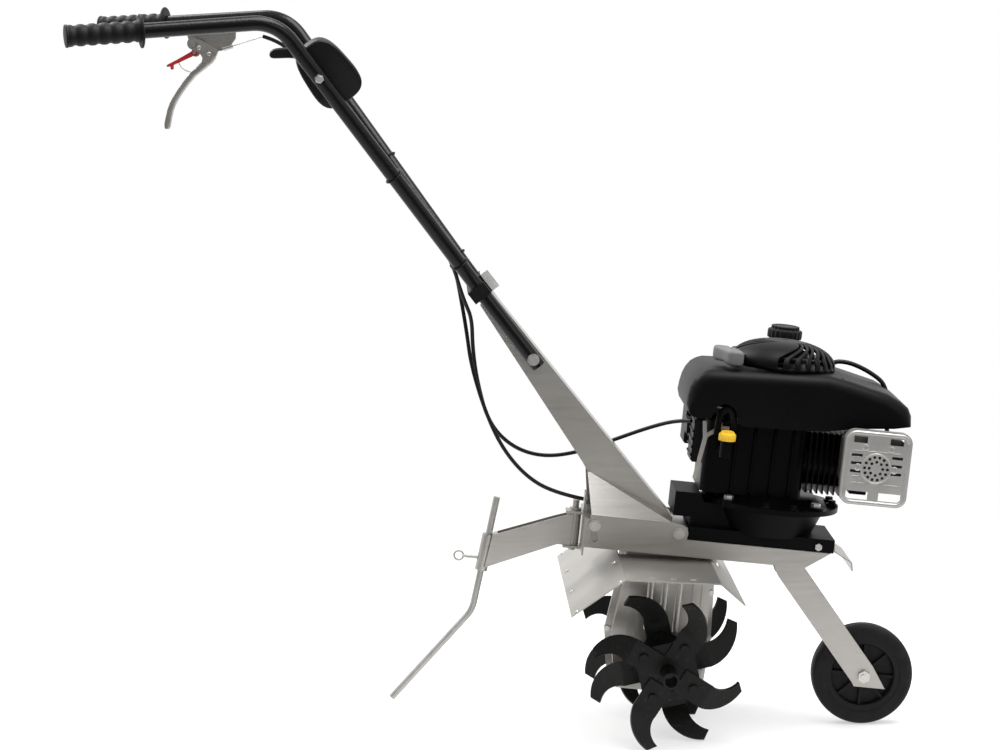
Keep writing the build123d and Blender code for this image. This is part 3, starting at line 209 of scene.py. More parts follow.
# Gear case and tine guard: two pressed case halves bolted rim to rim, stiffened by upright beads in
# their sides. The guard is one sheet over the tines, folded down at both ends, with rivets in its rear flap.
def skin(name, rings, body, caps=True, closed=True, angle=35):
    """A piece stretched over rings of points, all with the same count."""
    count = len(rings[0])
    faces = []
    for row in range(len(rings) - 1):
        for column in range(count if closed else count - 1):
            after = (column + 1) % count
            here = row * count
            faces.append((here + column, here + after, here + count + after, here + count + column))
    if caps:
        faces.append(tuple(reversed(range(count))))
        faces.append(tuple(range((len(rings) - 1) * count, len(rings) * count)))
    mesh = bpy.data.meshes.new(name)
    mesh.from_pydata([tuple(point) for ring in rings for point in ring], [], faces)
    work = bmesh.new()
    work.from_mesh(mesh)
    bmesh.ops.recalc_face_normals(work, faces=work.faces)
    work.to_mesh(mesh)
    work.free()
    smooth(mesh, angle)
    piece = bpy.data.objects.new(name, mesh)
    bpy.context.scene.collection.objects.link(piece)
    if body:
        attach(piece, body)
    return piece


def lathe(name, start, way, profile, body, turns=48, wave=0, depth=0.0, angle=35):
    """A turned piece: profile is (distance along, radius) in millimetres; wave and depth flute its rim."""
    axis = Vector(way).normalized()
    side = axis.orthogonal().normalized()
    other = axis.cross(side)
    rings = []
    for along, radius in profile:
        ring = []
        for turn in range(turns):
            spot = 2 * math.pi * turn / turns
            flute = depth * (0.5 + 0.5 * math.cos(wave * spot)) if radius > 4 * depth else 0
            spoke = side * math.cos(spot) + other * math.sin(spot)
            ring.append(start + (axis * along + spoke * (radius - flute)) / 1000)
        rings.append(ring)
    return skin(name, rings, body, angle=angle)


case_right = softened("gear_case_right", 1.0)
case_left = softened("gear_case_left", 1.0)
guard = softened("tine_guard", 0.6)
zinc.coat(case_right, case_left, guard)
case_half = 32
bead_half = 5
bead_stand = 2.2
bead_ends = (40, 140)
arch = [math.pi * k / 8 for k in range(9)]
for side in (-1, 1):
    for number, x in enumerate((-30, -8, 14)):
        bead = []
        for z in bead_ends:
            row = []
            for a in arch:
                stand = case_half + bead_stand * math.sin(a)
                row.append(at(x + bead_half * math.cos(a), side * stand, z))
            bead.append(row)
        zinc.coat(skin(f"case_bead_{side + 1}_{number}", bead, "chassis"))
flap_top = Vector((-86, 152))
flap_low = Vector((-159, 90))
flap_out = Vector((flap_low.y - flap_top.y, flap_top.x - flap_low.x)).normalized()
flap_way = level.to_3x3() @ Vector((flap_out.x, 0, flap_out.y))
flap_rivet = [(-1, 3.6), (0.6, 3.6), (1.6, 2.6), (2, 0.3)]
for side in (-1, 1):
    for number, (share, y) in enumerate(((0.1, 214), (0.9, 214), (0.1, 74), (0.9, 74))):
        flat = flap_top.lerp(flap_low, share)
        spot = at(flat.x, side * y, flat.y)
        rivet = lathe(f"guard_rivet_{side + 1}_{number}", spot, flap_way, flap_rivet, "chassis", turns=20)
        plated.coat(rivet)

# Tines: square star plates on a hub tube, each arm a hooked knife bolted on and folded over at its outer
# half. They are dipped in black paint, scuffed grey in streaks. The shaft and worm drive sit in the case.
tine_paint = Surface("tine_paint", "black_paint")
mottle = tine_paint.place.noise(28)
scuff = tine_paint.place.noise(160, (1, 0.3, 1)).step(0.6, 0.8)
tine_paint.set(
    base_color=(scuff * 0.5).tint((0.0035, 0.0033, 0.003), (0.05, 0.045, 0.04)),
    roughness=0.3 + 0.2 * mottle,
    specular_ior_level=0.2,
    normal=(mottle * 0.7 + tine_paint.place.noise(420) * 0.3).bump(0.0005),
)
knives = softened("tine_knives", 0.9)
hub_right = softened("tine_hub_right", 0.7)
hub_left = softened("tine_hub_left", 0.7)
tine_paint.coat(knives, hub_right, hub_left, "tine_bolts")
plated.coat("tine_shaft", "worm_shaft")
bronze = Surface("worm_bronze", "bronze")
bronze.set(
    base_color=bronze.place.noise(60).tint((0.35, 0.2, 0.07), (0.5, 0.32, 0.12)),
    metallic=1.0,
    roughness=0.3 + 0.15 * bronze.place.noise(200),
)
bronze.coat("worm_wheel")

# Wheel and fork: a flat-sided fork folded from sheet, and a moulded wheel with ribbed sides and a solid tyre.
# The tyre is duller than the rim, with two grooves round its tread.
fork = softened("wheel_fork", 1.0)
zinc.coat(fork)
plated.coat("axle_bolt")
axle = Vector(joints["wheel_spin"]["pos_m"])
tyre_rubber = Surface("tyre_rubber", "tyre_rubber")
dust = tyre_rubber.place.noise(45)
tyre_rubber.set(
    base_color=dust.step(0.4, 0.75).tint((0.004, 0.004, 0.004), (0.012, 0.0117, 0.0114)),
    roughness=0.5 + 0.2 * dust,
    specular_ior_level=0.2,
    normal=tyre_rubber.place.noise(700).bump(0.0004),
)
half_tread = [(18, 57.2), (18, 68.4), (17, 72.4), (14.5, 75.4), (11, 76.8), (9.5, 77), (9, 75.8), (7.5, 75.8),
              (7, 77.2)]
tread = [(-along, radius) for along, radius in half_tread] + [(0, 77.4)] + half_tread[::-1]


def wheel_ring(name, profile, turns):
    """A ring turned about the axle, open towards it."""
    rings = []
    for along, radius in profile:
        ring = []
        for turn in range(turns):
            spot = 2 * math.pi * turn / turns
            ring.append(axle + Vector((radius * math.cos(spot), along, radius * math.sin(spot))) / 1000)
        rings.append(ring)
    return skin(name, rings, "wheel", caps=False)


tyre = wheel_ring("tyre_tread", tread, 96)
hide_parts("tyre")
tyre_rubber.coat(tyre)
wheel_plastic = Surface("wheel_plastic", "black_plastic")
matt = wheel_plastic.place.noise(80)
wheel_plastic.set(
    base_color=matt.tint((0.003, 0.003, 0.0032), (0.006, 0.006, 0.0062)),
    roughness=0.38 + 0.15 * matt,
    specular_ior_level=0.2,
    normal=wheel_plastic.place.noise(1200).bump(0.0002),
)
rim = softened("wheel_rim", 0.8)
wheel_plastic.coat(rim)
rim_lip = [(6, 57), (12, 56.6), (15, 55), (16.4, 52), (16.4, 49.5), (14.5, 47.5), (6, 46.5)]
for side in (-1, 1):
    lip = wheel_ring(f"rim_lip_{side + 1}", [(side * along, radius) for along, radius in rim_lip], 72)
    wheel_plastic.coat(lip)

# Drag arm and stake: a folded arm hinged on the hitch pin, and a bent round bar held in its sleeve by a
# ring pin. The bar and the pin are bare steel, rubbed along their length.
arm = softened("drag_arm", 0.8)
zinc.coat(arm)
worn = Surface("worn_bar", "bright_steel")
rub = worn.place.noise(120, (1, 1, 0.2))
worn.set(
    base_color=rub.tint((0.32, 0.31, 0.29), (0.48, 0.47, 0.45)),
    metallic=0.8,
    roughness=0.32 + 0.2 * rub,
    normal=rub.bump(0.0003),
)
worn.coat("drag_stake", "stake_pin")

# Engine pan: a black folded tray on the deck, with a bowl under the engine and the belt housing behind it.
# The bumper ahead of it is thin bright sheet. The belt drive is inside.
black_paint = Surface("black_paint", "black_paint")
cloud = black_paint.place.noise(14)
black_paint.set(
    base_color=cloud.tint((0.0012, 0.0012, 0.0013), (0.0024, 0.0024, 0.0026)),
    roughness=0.4 + 0.14 * cloud,
    specular_ior_level=0.08,
    normal=black_paint.place.noise(120).bump(0.0001),
)
pan = softened("engine_pan", 1.0)
black_paint.coat(pan)
bumper = softened("front_bumper", 0.5)
zinc.coat(bumper)
plated.coat("driven_pulley", "drive_pulley", "idler_arm", "idler_pulley")
belt_rubber = Surface("belt_rubber", "belt_rubber")
belt_rubber.set(
    base_color=belt_rubber.place.noise(200).tint((0.02, 0.02, 0.02), (0.045, 0.043, 0.04)),
    roughness=0.8,
    normal=belt_rubber.place.noise(900).bump(0.0004),
)
belt_rubber.coat("drive_belt")

# Engine block: a dark glossy casting. The sump is a wide flange, bolted round its edge, over the bowl of
# the pan. The crankcase is a box with upright ribs, and the cylinder ahead of it is finned.
cast_black = Surface("cast_black", "engine_black")
pebble = cast_black.place.noise(380)
sheen = cast_black.place.noise(22)
cast_black.set(
    base_color=sheen.tint((0.0008, 0.0008, 0.0009), (0.0016, 0.0016, 0.0018)),
    roughness=0.24 + 0.16 * sheen,
    specular_ior_level=0.08,
    normal=(0.7 * pebble + 0.3 * sheen).bump(0.0003),
)
sump = softened("sump", 1.2)
crankcase = softened("crankcase", 1.5)
head = softened("cylinder_head", 0.8)
cast_black.coat(sump, crankcase, head, "flywheel")
plated.coat("crankshaft")


def joint_at(name):
    """Where a joint sits, in the machine's millimetres."""
    return level.inverted() @ Vector(joints[name]["pos_m"]) * 1000


crank = joint_at("crank_spin")
block_side = 58
block_foot = 264
for side in (-1, 1):
    for number, x in enumerate((70, 98, 128, 156)):
        rib = []
        for rise, stand in ((2, 0.5), (6, 5), (76, 5), (98, 3.5), (106, 0.5)):
            outer = side * (block_side + stand)
            inner = side * (block_side - 1)
            section = ((-3, inner), (-1.6, outer), (1.6, outer), (3, inner))
            rib.append([at(x + along, y, block_foot + rise) for along, y in section])
        cast_black.coat(skin(f"case_rib_{side + 1}_{number}", rib, "chassis"))
flange_mid = crank.x + 4.5
flange_top = 254
boss_reach = 94
boss_profile = [(-1, 9), (3, 8.6), (3.6, 7.8), (3.8, 5.8), (8, 5.8), (8.4, 5.2), (8.4, 0.3)]
for number, heading in enumerate((10, 80, 100, 170, 190, 260, 285, 350)):
    x = flange_mid + boss_reach * math.cos(math.radians(heading))
    y = boss_reach * math.sin(math.radians(heading))
    boss = lathe(f"sump_boss_{number}", at(x, y, flange_top), up, boss_profile, "chassis", turns=12, angle=25)
    cast_black.coat(boss)

# Blower hood: one satin moulding, rounded over its edges, open below and dished where it meets the dome.
# Its lower right edge is arched over the oil filler, where a breather hose bends up inside it.
hood_plastic = Surface("hood_plastic", "shroud_black")
leather = hood_plastic.place.noise(650)
drift = hood_plastic.place.noise(12)
hood_plastic.set(
    base_color=drift.tint((0.001, 0.001, 0.0011), (0.002, 0.002, 0.0022)),
    roughness=0.32 + 0.1 * drift + 0.06 * leather,
    specular_ior_level=0.1,
    normal=leather.bump(0.0003),
)
hood_half = 92
hood_round = 19
hood_wall = 0.0025
hood_rim = 373
hood_round_foot = 384
hood_round_rise = 30
arch_front = 100
hood_top = [(10, 379), (-4, 381), (-9, 386), (-12.5, 397), (-11.5, 410), (-9, 423), (-4.5, 434), (2, 443),
            (10, 448.5), (19, 452), (60, 454), (120, 456.6), (196, 459.6), (230, 453.5), (262, 446),
            (286, 440.5), (306, 431), (319, 422), (324.5, 411), (325.8, 396)]
hood_low = [(300, 391.5), (246, 386), (220, 381.5), (195, 377), (140, 374.5), (82, 372.6), (70, 374),
            (65, 384), (60, 396), (52, 403), (42, 404), (33, 398), (28, 388), (25, 380)]
turns = [math.radians(15 * k) for k in range(7)]
near_rows = [(hood_round * (1 - math.cos(t)) - hood_half, hood_round * (1 - math.sin(t))) for t in turns]
far_rows = [(-y, inset) for y, inset in reversed(near_rows)]
hood_rows = []
for y, inset in near_rows + far_rows:
    row = []
    for number, (x, z) in enumerate(hood_top):
        before = Vector(hood_top[max(0, number - 1)])
        after = Vector(hood_top[min(len(hood_top) - 1, number + 1)])
        run = (after - before).normalized()
        pull = inset * max(0, min(1, (z - hood_round_foot) / hood_round_rise))
        row.append(at(x + run.y * pull, y, z - run.x * pull))
    for x, z in hood_low:
        row.append(at(x, y, z if y < 0 or x > arch_front else hood_rim))
    hood_rows.append(row)
hood = skin("blower_hood", hood_rows, "chassis", angle=50)


def cut_faces(piece, wanted):
    """Take faces, given by number, out of a piece."""
    work = bmesh.new()
    work.from_mesh(piece.data)
    work.faces.ensure_lookup_table()
    bmesh.ops.delete(work, geom=[work.faces[number] for number in wanted], context="FACES_ONLY")
    work.to_mesh(piece.data)
    work.free()


def walled(piece, thickness):
    """Give a skin a wall, inward from its outer face."""
    wall = piece.modifiers.new("wall", "SOLIDIFY")
    wall.thickness = thickness
    wall.offset = -1


round_count = len(hood_top) + len(hood_low)
under = []
for row in range(len(hood_rows) - 1):
    under += [row * round_count + column for column in range(len(hood_top) - 1, round_count)]
cut_faces(hood, under)
walled(hood, hood_wall)
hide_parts("blower_housing")
hood_plastic.coat(hood)


def flexible(name, points, radius):
    """A smooth round wire near its points, as a mesh with no body yet, and the line that it follows."""
    curve = bpy.data.curves.new(name, "CURVE")
    curve.dimensions = "3D"
    line = curve.splines.new("NURBS")
    line.points.add(len(points) - 1)
    for spot, point in zip(line.points, points):
        spot.co = (*point, 1)
    line.order_u = 3
    line.use_endpoint_u = True
    line.resolution_u = 10
    shaper = bpy.data.objects.new(name + "_line", curve)
    bpy.context.scene.collection.objects.link(shaper)
    meshes = []
    for thickness in (0, radius / 1000):
        curve.bevel_depth = thickness
        curve.bevel_resolution = 5
        curve.use_fill_caps = True
        bpy.context.view_layer.update()
        settled = shaper.evaluated_get(bpy.context.evaluated_depsgraph_get())
        meshes.append(bpy.data.meshes.new_from_object(settled))
    bpy.data.objects.remove(shaper)
    smooth(meshes[1], 60)
    wire = bpy.data.objects.new(name, meshes[1])
    bpy.context.scene.collection.objects.link(wire)
    return wire, [vertex.co.copy() for vertex in meshes[0].vertices]


hose_points = [(37, -84, 356), (38, -84, 380), (43, -84, 394), (52, -84, 397), (60, -84, 390), (64, -82, 366)]
hose_r = 5
hose = flexible("breather_hose", [at(*point) for point in hose_points], hose_r)[0]
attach(hose, "chassis")
cast_black.coat(hose)
screw_profile = [(-2, 5), (0.6, 5), (0.9, 4.2), (-0.6, 3.6), (-0.6, 0.3)]
for number, spot in enumerate(((24, -66, 451.4), (214, -70, 455.4), (40, 60, 452.6))):
    screw = lathe(f"hood_screw_{number}", at(*spot), up, screw_profile, "chassis", turns=24)
    cast_black.coat(screw)

# Recoil starter: a low dome moulded with leaning cooling slots round a plain crown, smooth where the rope
# comes out. The grey pull grip lies against its rear edge, and the rope runs in under the rim to the reel.
dome_rows = [(79.3, 458.2), (79.3, 464), (78.6, 469), (76.5, 473.5), (72.5, 478.5), (67.5, 482.8),
             (62, 486.3), (56, 489.2), (50, 491.4), (44, 493.2), (38, 494.6), (32, 495.7), (24, 496.6),
             (12, 496.95), (0.5, 497)]
dome_wall = 0.003
dome_steps = 168
slot_rows = range(1, 11)
slot_pitch = 6
slot_wide = 3
slot_lean = math.radians(46)
lean_foot_r = 74
lean_over = 42
rope_side = (192, 250)
dome_rings = []
for radius, z in dome_rows:
    lean = max(0.0, min(1.0, (lean_foot_r - radius) / lean_over)) * slot_lean
    turns = [2 * math.pi * k / dome_steps + lean for k in range(dome_steps)]
    dome_rings.append([at(crank.x + radius * math.cos(a), radius * math.sin(a), z) for a in turns])
dome = skin("recoil_dome", dome_rings, "chassis", caps=False, angle=40)
slots = []
for row in slot_rows:
    for column in range(dome_steps):
        heading = column * 360 / dome_steps
        open_here = column % slot_pitch < slot_wide
        if open_here and not rope_side[0] < heading < rope_side[1]:
            slots.append(row * dome_steps + column)
cut_faces(dome, slots)
walled(dome, dome_wall)
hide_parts("recoil_cover")
hood_plastic.coat(dome)
grip_grey = Surface("grip_grey", "grey_plastic")
chalk = grip_grey.place.noise(70)
grip_grey.set(
    base_color=chalk.tint((0.095, 0.097, 0.095), (0.135, 0.137, 0.135)),
    roughness=0.5 + 0.12 * chalk,
    normal=grip_grey.place.noise(900).bump(0.0002),
)
bar_mid = Vector((46, -43, 470.5))
bar_turn = math.tan(math.radians(17))
bar_steps = 28
half_bar = [(33, 6, 7), (32, 9.5, 9.5), (29, 11.4, 11.2), (23, 12, 11.8), (15, 11, 11), (0, 9.6, 10)]
bar_sections = [(-y, wide, high) for y, wide, high in half_bar] + half_bar[-2::-1]
bar = []
for y, wide, high in bar_sections:
    ring = []
    for k in range(bar_steps):
        a = 2 * math.pi * k / bar_steps
        square = (abs(math.cos(a)) ** 5 + abs(math.sin(a)) ** 5) ** -0.2
        x = bar_mid.x - y * bar_turn + wide * square * math.cos(a)
        ring.append(at(x, bar_mid.y + y, bar_mid.z + high * square * math.sin(a)))
    bar.append(ring)
pull_grip = skin("pull_grip", bar, "starter", angle=50)
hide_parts("starter_grip")
grip_grey.coat(pull_grip)
rope_line = Vector((53, -40.5, 474))
stem_profile = [(-3, 9), (2, 8.6), (6, 7.4), (9, 6.6), (10, 5.6), (10, 2.2)]
stem = lathe("pull_grip_stem", at(*rope_line), ahead, stem_profile, "starter", turns=28)
grip_grey.coat(stem)
rope = Surface("rope_braid", "rope")
weave = rope.place.noise(800)
rope.set(
    base_color=weave.tint((0.03, 0.03, 0.03), (0.1, 0.1, 0.095)),
    roughness=0.85,
    normal=weave.bump(0.0006),
)
rope.coat("starter_rope")
plastic = Surface("black_plastic", "black_plastic")
haze = plastic.place.noise(55)
plastic.set(
    base_color=haze.tint((0.0025, 0.0025, 0.0027), (0.005, 0.005, 0.0052)),
    roughness=0.36 + 0.16 * haze,
    specular_ior_level=0.2,
    normal=plastic.place.noise(1000).bump(0.00025),
)
plastic.coat("starter_reel")

# Fuel tank, intake and oil filler: a moulded tank on the left with a ribbed two-step cap, the air cleaner
# behind the block with a thin bright control plate beside it, and a yellow winged cap on the filler.
tank = softened("fuel_tank", 6)
hood_plastic.coat(tank)
fuel = joint_at("fuel_cap_turn")
cap_low = 485
cap_profile = [(0, 20.5), (0, 25.6), (1, 26.6), (3, 27), (11, 27), (13, 26.4), (14, 25), (14.4, 22.6),
               (15, 22), (18.6, 22), (19.8, 20.6), (20, 17), (19.2, 15.5), (19, 0.4)]
cap = lathe("fuel_cap_ribbed", at(fuel.x, fuel.y, cap_low), up, cap_profile, "fuel_cap",
            turns=160, wave=20, depth=1.5)
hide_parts("fuel_cap")
plastic.coat(cap)
intake = softened("intake", 3)
plastic.coat(intake)
fin_section = ((10, 0), (7, 1.4), (7, 3.6), (10, 5))
for number, foot in enumerate((310, 322, 334, 346)):
    fin = []
    for y in (-24, 32):
        fin.append([at(x, y, foot + rise) for x, rise in fin_section])
    plastic.coat(skin(f"cleaner_fin_{number}", fin, "chassis"))
control = softened("control_bracket", 0.4)
zinc.coat(control)
yellow = Surface("yellow_plastic", "yellow_plastic")
sun = yellow.place.noise(90)
yellow.set(
    base_color=sun.tint((0.72, 0.42, 0.01), (0.85, 0.55, 0.03)),
    roughness=0.35 + 0.1 * sun,
    normal=yellow.place.noise(600).bump(0.0002),
)
oil = joint_at("oil_cap_turn")
oil_low = 350
oil_profile = [(0, 9.6), (0, 12.4), (1, 13), (9, 13), (10.4, 12.4), (11, 10.5), (11, 0.3)]
filler_cap = lathe("oil_cap_body", at(oil.x, oil.y, oil_low), up, oil_profile, "oil_cap",
                   turns=96, wave=16, depth=1.0)
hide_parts("oil_cap")
yellow.coat(filler_cap)
wing_foot = oil_low + 10.5
wing = []
for x, high in ((-11, 0.5), (-9, 3.6), (-5, 4.8), (0, 5), (5, 4.8), (9, 3.6), (11, 0.5)):
    section = ((-3, 0), (-2, high), (2, high), (3, 0))
    wing.append([at(oil.x + x, oil.y + y, wing_foot + rise) for y, rise in section])
yellow.coat(skin("oil_cap_wing", wing, "oil_cap"))

# Exhaust: a plain box muffler behind a stamped bright shield with a rolled rim, pressed beads and
# perforations. The muffler is browned by heat, and the shield stays bright.
scorched = Surface("muffler_steel", "shield_steel")
heat = scorched.place.noise(18)
scorched.set(
    base_color=heat.step(0.35, 0.7).tint((0.1, 0.09, 0.085), (0.24, 0.22, 0.2)),
    metallic=0.85,
    roughness=0.4 + 0.2 * heat,
    normal=scorched.place.noise(200).bump(0.0005),
)
muffler = softened("muffler", 2)
scorched.coat(muffler)
stamped = Surface("shield_steel", "shield_steel")
ripple = stamped.place.noise(40)
stamped.set(
    base_color=ripple.tint((0.4, 0.395, 0.38), (0.5, 0.495, 0.48)),
    metallic=0.75,
    roughness=0.3 + 0.14 * ripple,
    normal=(0.5 * ripple + 0.5 * stamped.place.noise(500)).bump(0.0005),
)
shield = softened("muffler_shield", 0.6)
stamped.coat(shield)


def way_of(first, second):
    """The direction from one point to another."""
    return (second - first).normalized()


def hoop(name, line, radius, turn, body):
    """A round bead laid along a closed line."""
    rings = []
    count = len(line)
    for number in range(count + 1):
        here = line[number % count]
        run = way_of(line[(number - 1) % count], line[(number + 1) % count])
        out = run.cross(turn).normalized()
        spokes = [2 * math.pi * k / 10 for k in range(10)]
        rings.append([here + (out * math.cos(a) + turn * math.sin(a)) * radius / 1000 for a in spokes])
    return skin(name, rings, body, caps=False)


outside = -left
shield_face = -138
shield_mid = Vector((271, 336.2))
rim_corner = Vector((33, 38.8))
rim_bend = 13
rim_line = []
for number, (across, rise) in enumerate(((1, 1), (-1, 1), (-1, -1), (1, -1))):
    for k in range(9):
        a = math.radians(90 * number + 90 * k / 8)
        x = shield_mid.x + rim_corner.x * across + rim_bend * math.cos(a)
        rim_line.append(at(x, shield_face + 1.5, shield_mid.y + rim_corner.y * rise + rim_bend * math.sin(a)))
stamped.coat(hoop("shield_rim", rim_line, 3.4, outside, "chassis"))
disc_r = 22
disc_steps = 40
disc_line = []
for k in range(disc_steps):
    a = 2 * math.pi * k / disc_steps
    x = shield_mid.x + disc_r * math.cos(a)
    disc_line.append(at(x, shield_face, shield_mid.y + disc_r * math.sin(a)))
stamped.coat(hoop("shield_disc", disc_line, 1.6, outside, "chassis"))
boss_profile = [(0, 6), (1.4, 5.6), (2.2, 4.4), (2.2, 2.4), (1.2, 2), (1.2, 0.3)]
for number, (across, rise) in enumerate(((-27, 0), (27, 0), (-19, 30), (19, 30))):
    spot = at(shield_mid.x + across, shield_face + 1.5, shield_mid.y + rise)
    stamped.coat(lathe(f"shield_boss_{number}", spot, outside, boss_profile, "chassis", turns=28))
bead_start = 236
bead_section = ((1.2, 0), (-0.8, 1.2), (1.2, 2.4))
for number, (foot, run) in enumerate(((-24, 70), (-14, 11), (14, 11), (24, 70))):
    bead = []
    for x in (bead_start, bead_start + run):
        bead.append([at(x, shield_face + y, shield_mid.y + foot + rise) for y, rise in bead_section])
    stamped.coat(skin(f"shield_bead_{number}", bead, "chassis"))

# Handle: a silver column folded from sheet and flared at its foot, capped by a grey block on a black collar.
# The collar wraps two tubes, which are bolted to the column's sides, bent outward and stoved gloss black.
column = softened("handle_column", 0.8)
zinc.coat(column)
plated.coat("handle_bolts")
tube_black = Surface("tube_black", "black_tube")
orange = tube_black.place.noise(240)
tube_black.set(
    base_color=orange.tint((0.002, 0.002, 0.0022), (0.004, 0.004, 0.0042)),
    roughness=0.16 + 0.1 * tube_black.place.noise(20),
    specular_ior_level=0.22,
    normal=orange.bump(0.00025),
)
tube_black.coat("handlebar_right", "handlebar_left")
cap_grey = Surface("cap_grey", "zinc_steel")
milk = cap_grey.place.noise(60)
cap_grey.set(
    base_color=milk.tint((0.5, 0.5, 0.485), (0.6, 0.6, 0.58)),
    roughness=0.45 + 0.1 * milk,
    normal=cap_grey.place.noise(800).bump(0.0002),
)
column_cap = softened("column_cap", 1.5)
cap_grey.coat(column_cap)
column_cap.data.materials.append(plastic.material)
column_head = at(-316, 0, 528)
bar_foot = at(-234.6, 0, 426)
bar_bend = Vector((-352, 41, 550))
bar_splay = at(bar_bend.x, 0, bar_bend.z)
cap_down = left.cross(way_of(bar_splay, bar_foot))
cap_seam = column_head - cap_down * 0.003
work = bmesh.new()
work.from_mesh(column_cap.data)
whole = work.verts[:] + work.edges[:] + work.faces[:]
bmesh.ops.bisect_plane(work, geom=whole, plane_co=cap_seam, plane_no=cap_down)
for face in work.faces:
    face.material_index = int((face.calc_center_median() - cap_seam).dot(cap_down) > 0)
work.to_mesh(column_cap.data)
work.free()

# Grips: soft rubber sleeves pushed over the bar ends, with a flange ahead of the hand and rounded ribs
# along their length. The rubber is dull and slightly bloomed.
rubber = Surface("grip_rubber", "grip_rubber")
bloom_grey = rubber.place.noise(90)
rubber.set(
    base_color=bloom_grey.tint((0.003, 0.0029, 0.0028), (0.007, 0.0068, 0.0066)),
    roughness=0.42 + 0.2 * bloom_grey,
    specular_ior_level=0.2,
    normal=rubber.place.noise(900).bump(0.0003),
)
corner = Vector((-666.0, 165.0, 899.4))
bar_end = Vector((-951.4, 243.0, 852.0))
grip_start = (bar_end - corner).length - 106
rib_first = 9
rib_pitch = 16.5
grip_profile = [(0, 11.2), (0, 22), (0.6, 23.8), (2, 24.5), (3.4, 23.8), (4, 22), (4.6, 17.4), (6.4, 15.6)]
for rib in range(6):
    base = rib_first + rib * rib_pitch
    grip_profile += [(base, 15.4), (base + 1.6, 14.6), (base + 3, 13.9), (base + 6, 13.9), (base + 7.4, 14.6)]
    grip_profile += [(base + 9, 15.4), (base + 12.5, 15.8)]
grip_profile += [(105.6, 15.4), (106.6, 16.3), (108.4, 16.6), (109.6, 16), (110, 14.6), (110, 0.4)]
grip_pair = []
for side in (-1, 1):
    mirror = Vector((1, side, 1))
    along = way_of(at(*(corner * mirror)), at(*(bar_end * mirror)))
    start = at(*(corner * mirror)) + along * grip_start / 1000
    grip = lathe(f"grip_ribbed_{side + 1}", start, along, grip_profile, "handle", turns=64)
    grip_pair.append(grip)
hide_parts("grips")
rubber.coat(*grip_pair)

# Clutch control under the left bar: a bright bracket with a round window, a flat lever plate riveted up
# of two sheets with a curved pressed arm, and the slender red catch with its spring.
bracket = softened("clutch_bracket", 0.5)
zinc.coat(bracket)
along = way_of(at(*corner), at(*bar_end))
sideways = along.cross(up).normalized()
lift = sideways.cross(along)


def by_bar(a, b, c):
    """A point placed along the left bar from its corner, above it and to its left."""
    return at(*corner) + (along * a + lift * b + sideways * c) / 1000


def pressed(name, spine, section, body):
    """An arm drawn along a spine of (along, up, half width), with one section all the way."""
    rings = []
    for number, (a, b, wide) in enumerate(spine):
        before = Vector(spine[max(0, number - 1)][:2])
        after = Vector(spine[min(len(spine) - 1, number + 1)][:2])
        run = (after - before).normalized()
        ring = []
        for across, c in section:
            shift = wide * across
            ring.append(by_bar(a - run.y * shift, b + run.x * shift, c))
        rings.append(ring)
    return skin(name, rings, body, angle=40)


lever = softened("clutch_lever", 0.6)
arm_spine = [(119, -55, 4), (126, -62, 4.6), (139, -71, 4.6), (154, -81, 4.5), (167, -94, 4.4),
             (178, -107, 4.3), (186, -117.5, 4.3), (191, -125.5, 4.3), (195.5, -135, 4.3),
             (198.5, -145, 4.4), (201, -154, 4.6), (202.2, -160, 4.2), (202.8, -163.5, 2.4)]
dished = [(-1, -0.2), (-1, -6.4), (-0.8, -7.4), (-0.4, -7), (0.4, -7), (0.8, -7.4), (1, -6.4), (1, -0.2),
          (0.7, 0), (-0.7, 0)]
lever_arm = pressed("clutch_lever_arm", arm_spine, dished, "clutch_lever")
zinc.coat(lever, lever_arm)
rivet_profile = [(0, 3.6), (0.8, 3.4), (1.5, 2.4), (1.7, 0.3)]
for number, spot in enumerate(((126, -51.3, -5.3), (142, -41, -5.3))):
    rivet = lathe(f"lever_rivet_{number}", by_bar(*spot), -sideways, rivet_profile, "clutch_lever", turns=20)
    plated.coat(rivet)
red = Surface("red_plastic", "red_plastic")
glow = red.place.noise(90)
red.set(
    base_color=glow.tint((0.4, 0.01, 0.015), (0.52, 0.02, 0.025)),
    roughness=0.35 + 0.1 * glow,
    normal=red.place.noise(700).bump(0.0002),
)
catch = softened("safety_catch", 0.8)
red.coat(catch)
spring_points = [(180, -59.5, 3), (178.5, -66, 3), (172, -73, 2), (164, -77, 1.6), (159.5, -77.6, 1.6)]
spring_r = 0.9
spring = flexible("catch_spring", [by_bar(*point) for point in spring_points], spring_r)[0]
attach(spring, "safety_catch")
plated.coat(spring)

# Throttle control on the right bar: a rounded plastic case bolted to the bar, with a thumb lever on its
# inner face and a spigot below, where the cable comes out.
mirror = Vector((1, -1, 1))
low = at(*(bar_bend * mirror))
high = at(*(corner * mirror))
climb = way_of(low, high)
inward = (left - climb * left.dot(climb)).normalized()
forward = inward.cross(climb)
throttle_mid = low + (high - low) * 0.79
case_mid = Vector((-8, 13.5))
case_half_long = 51
case_half_wide = 35.5
case_steps = 56
case_square = 0.62


def on_case(x, y, z):
    """A point on the throttle case: along the bar, ahead of it and inward from it."""
    return throttle_mid + (climb * x + forward * y + inward * z) / 1000


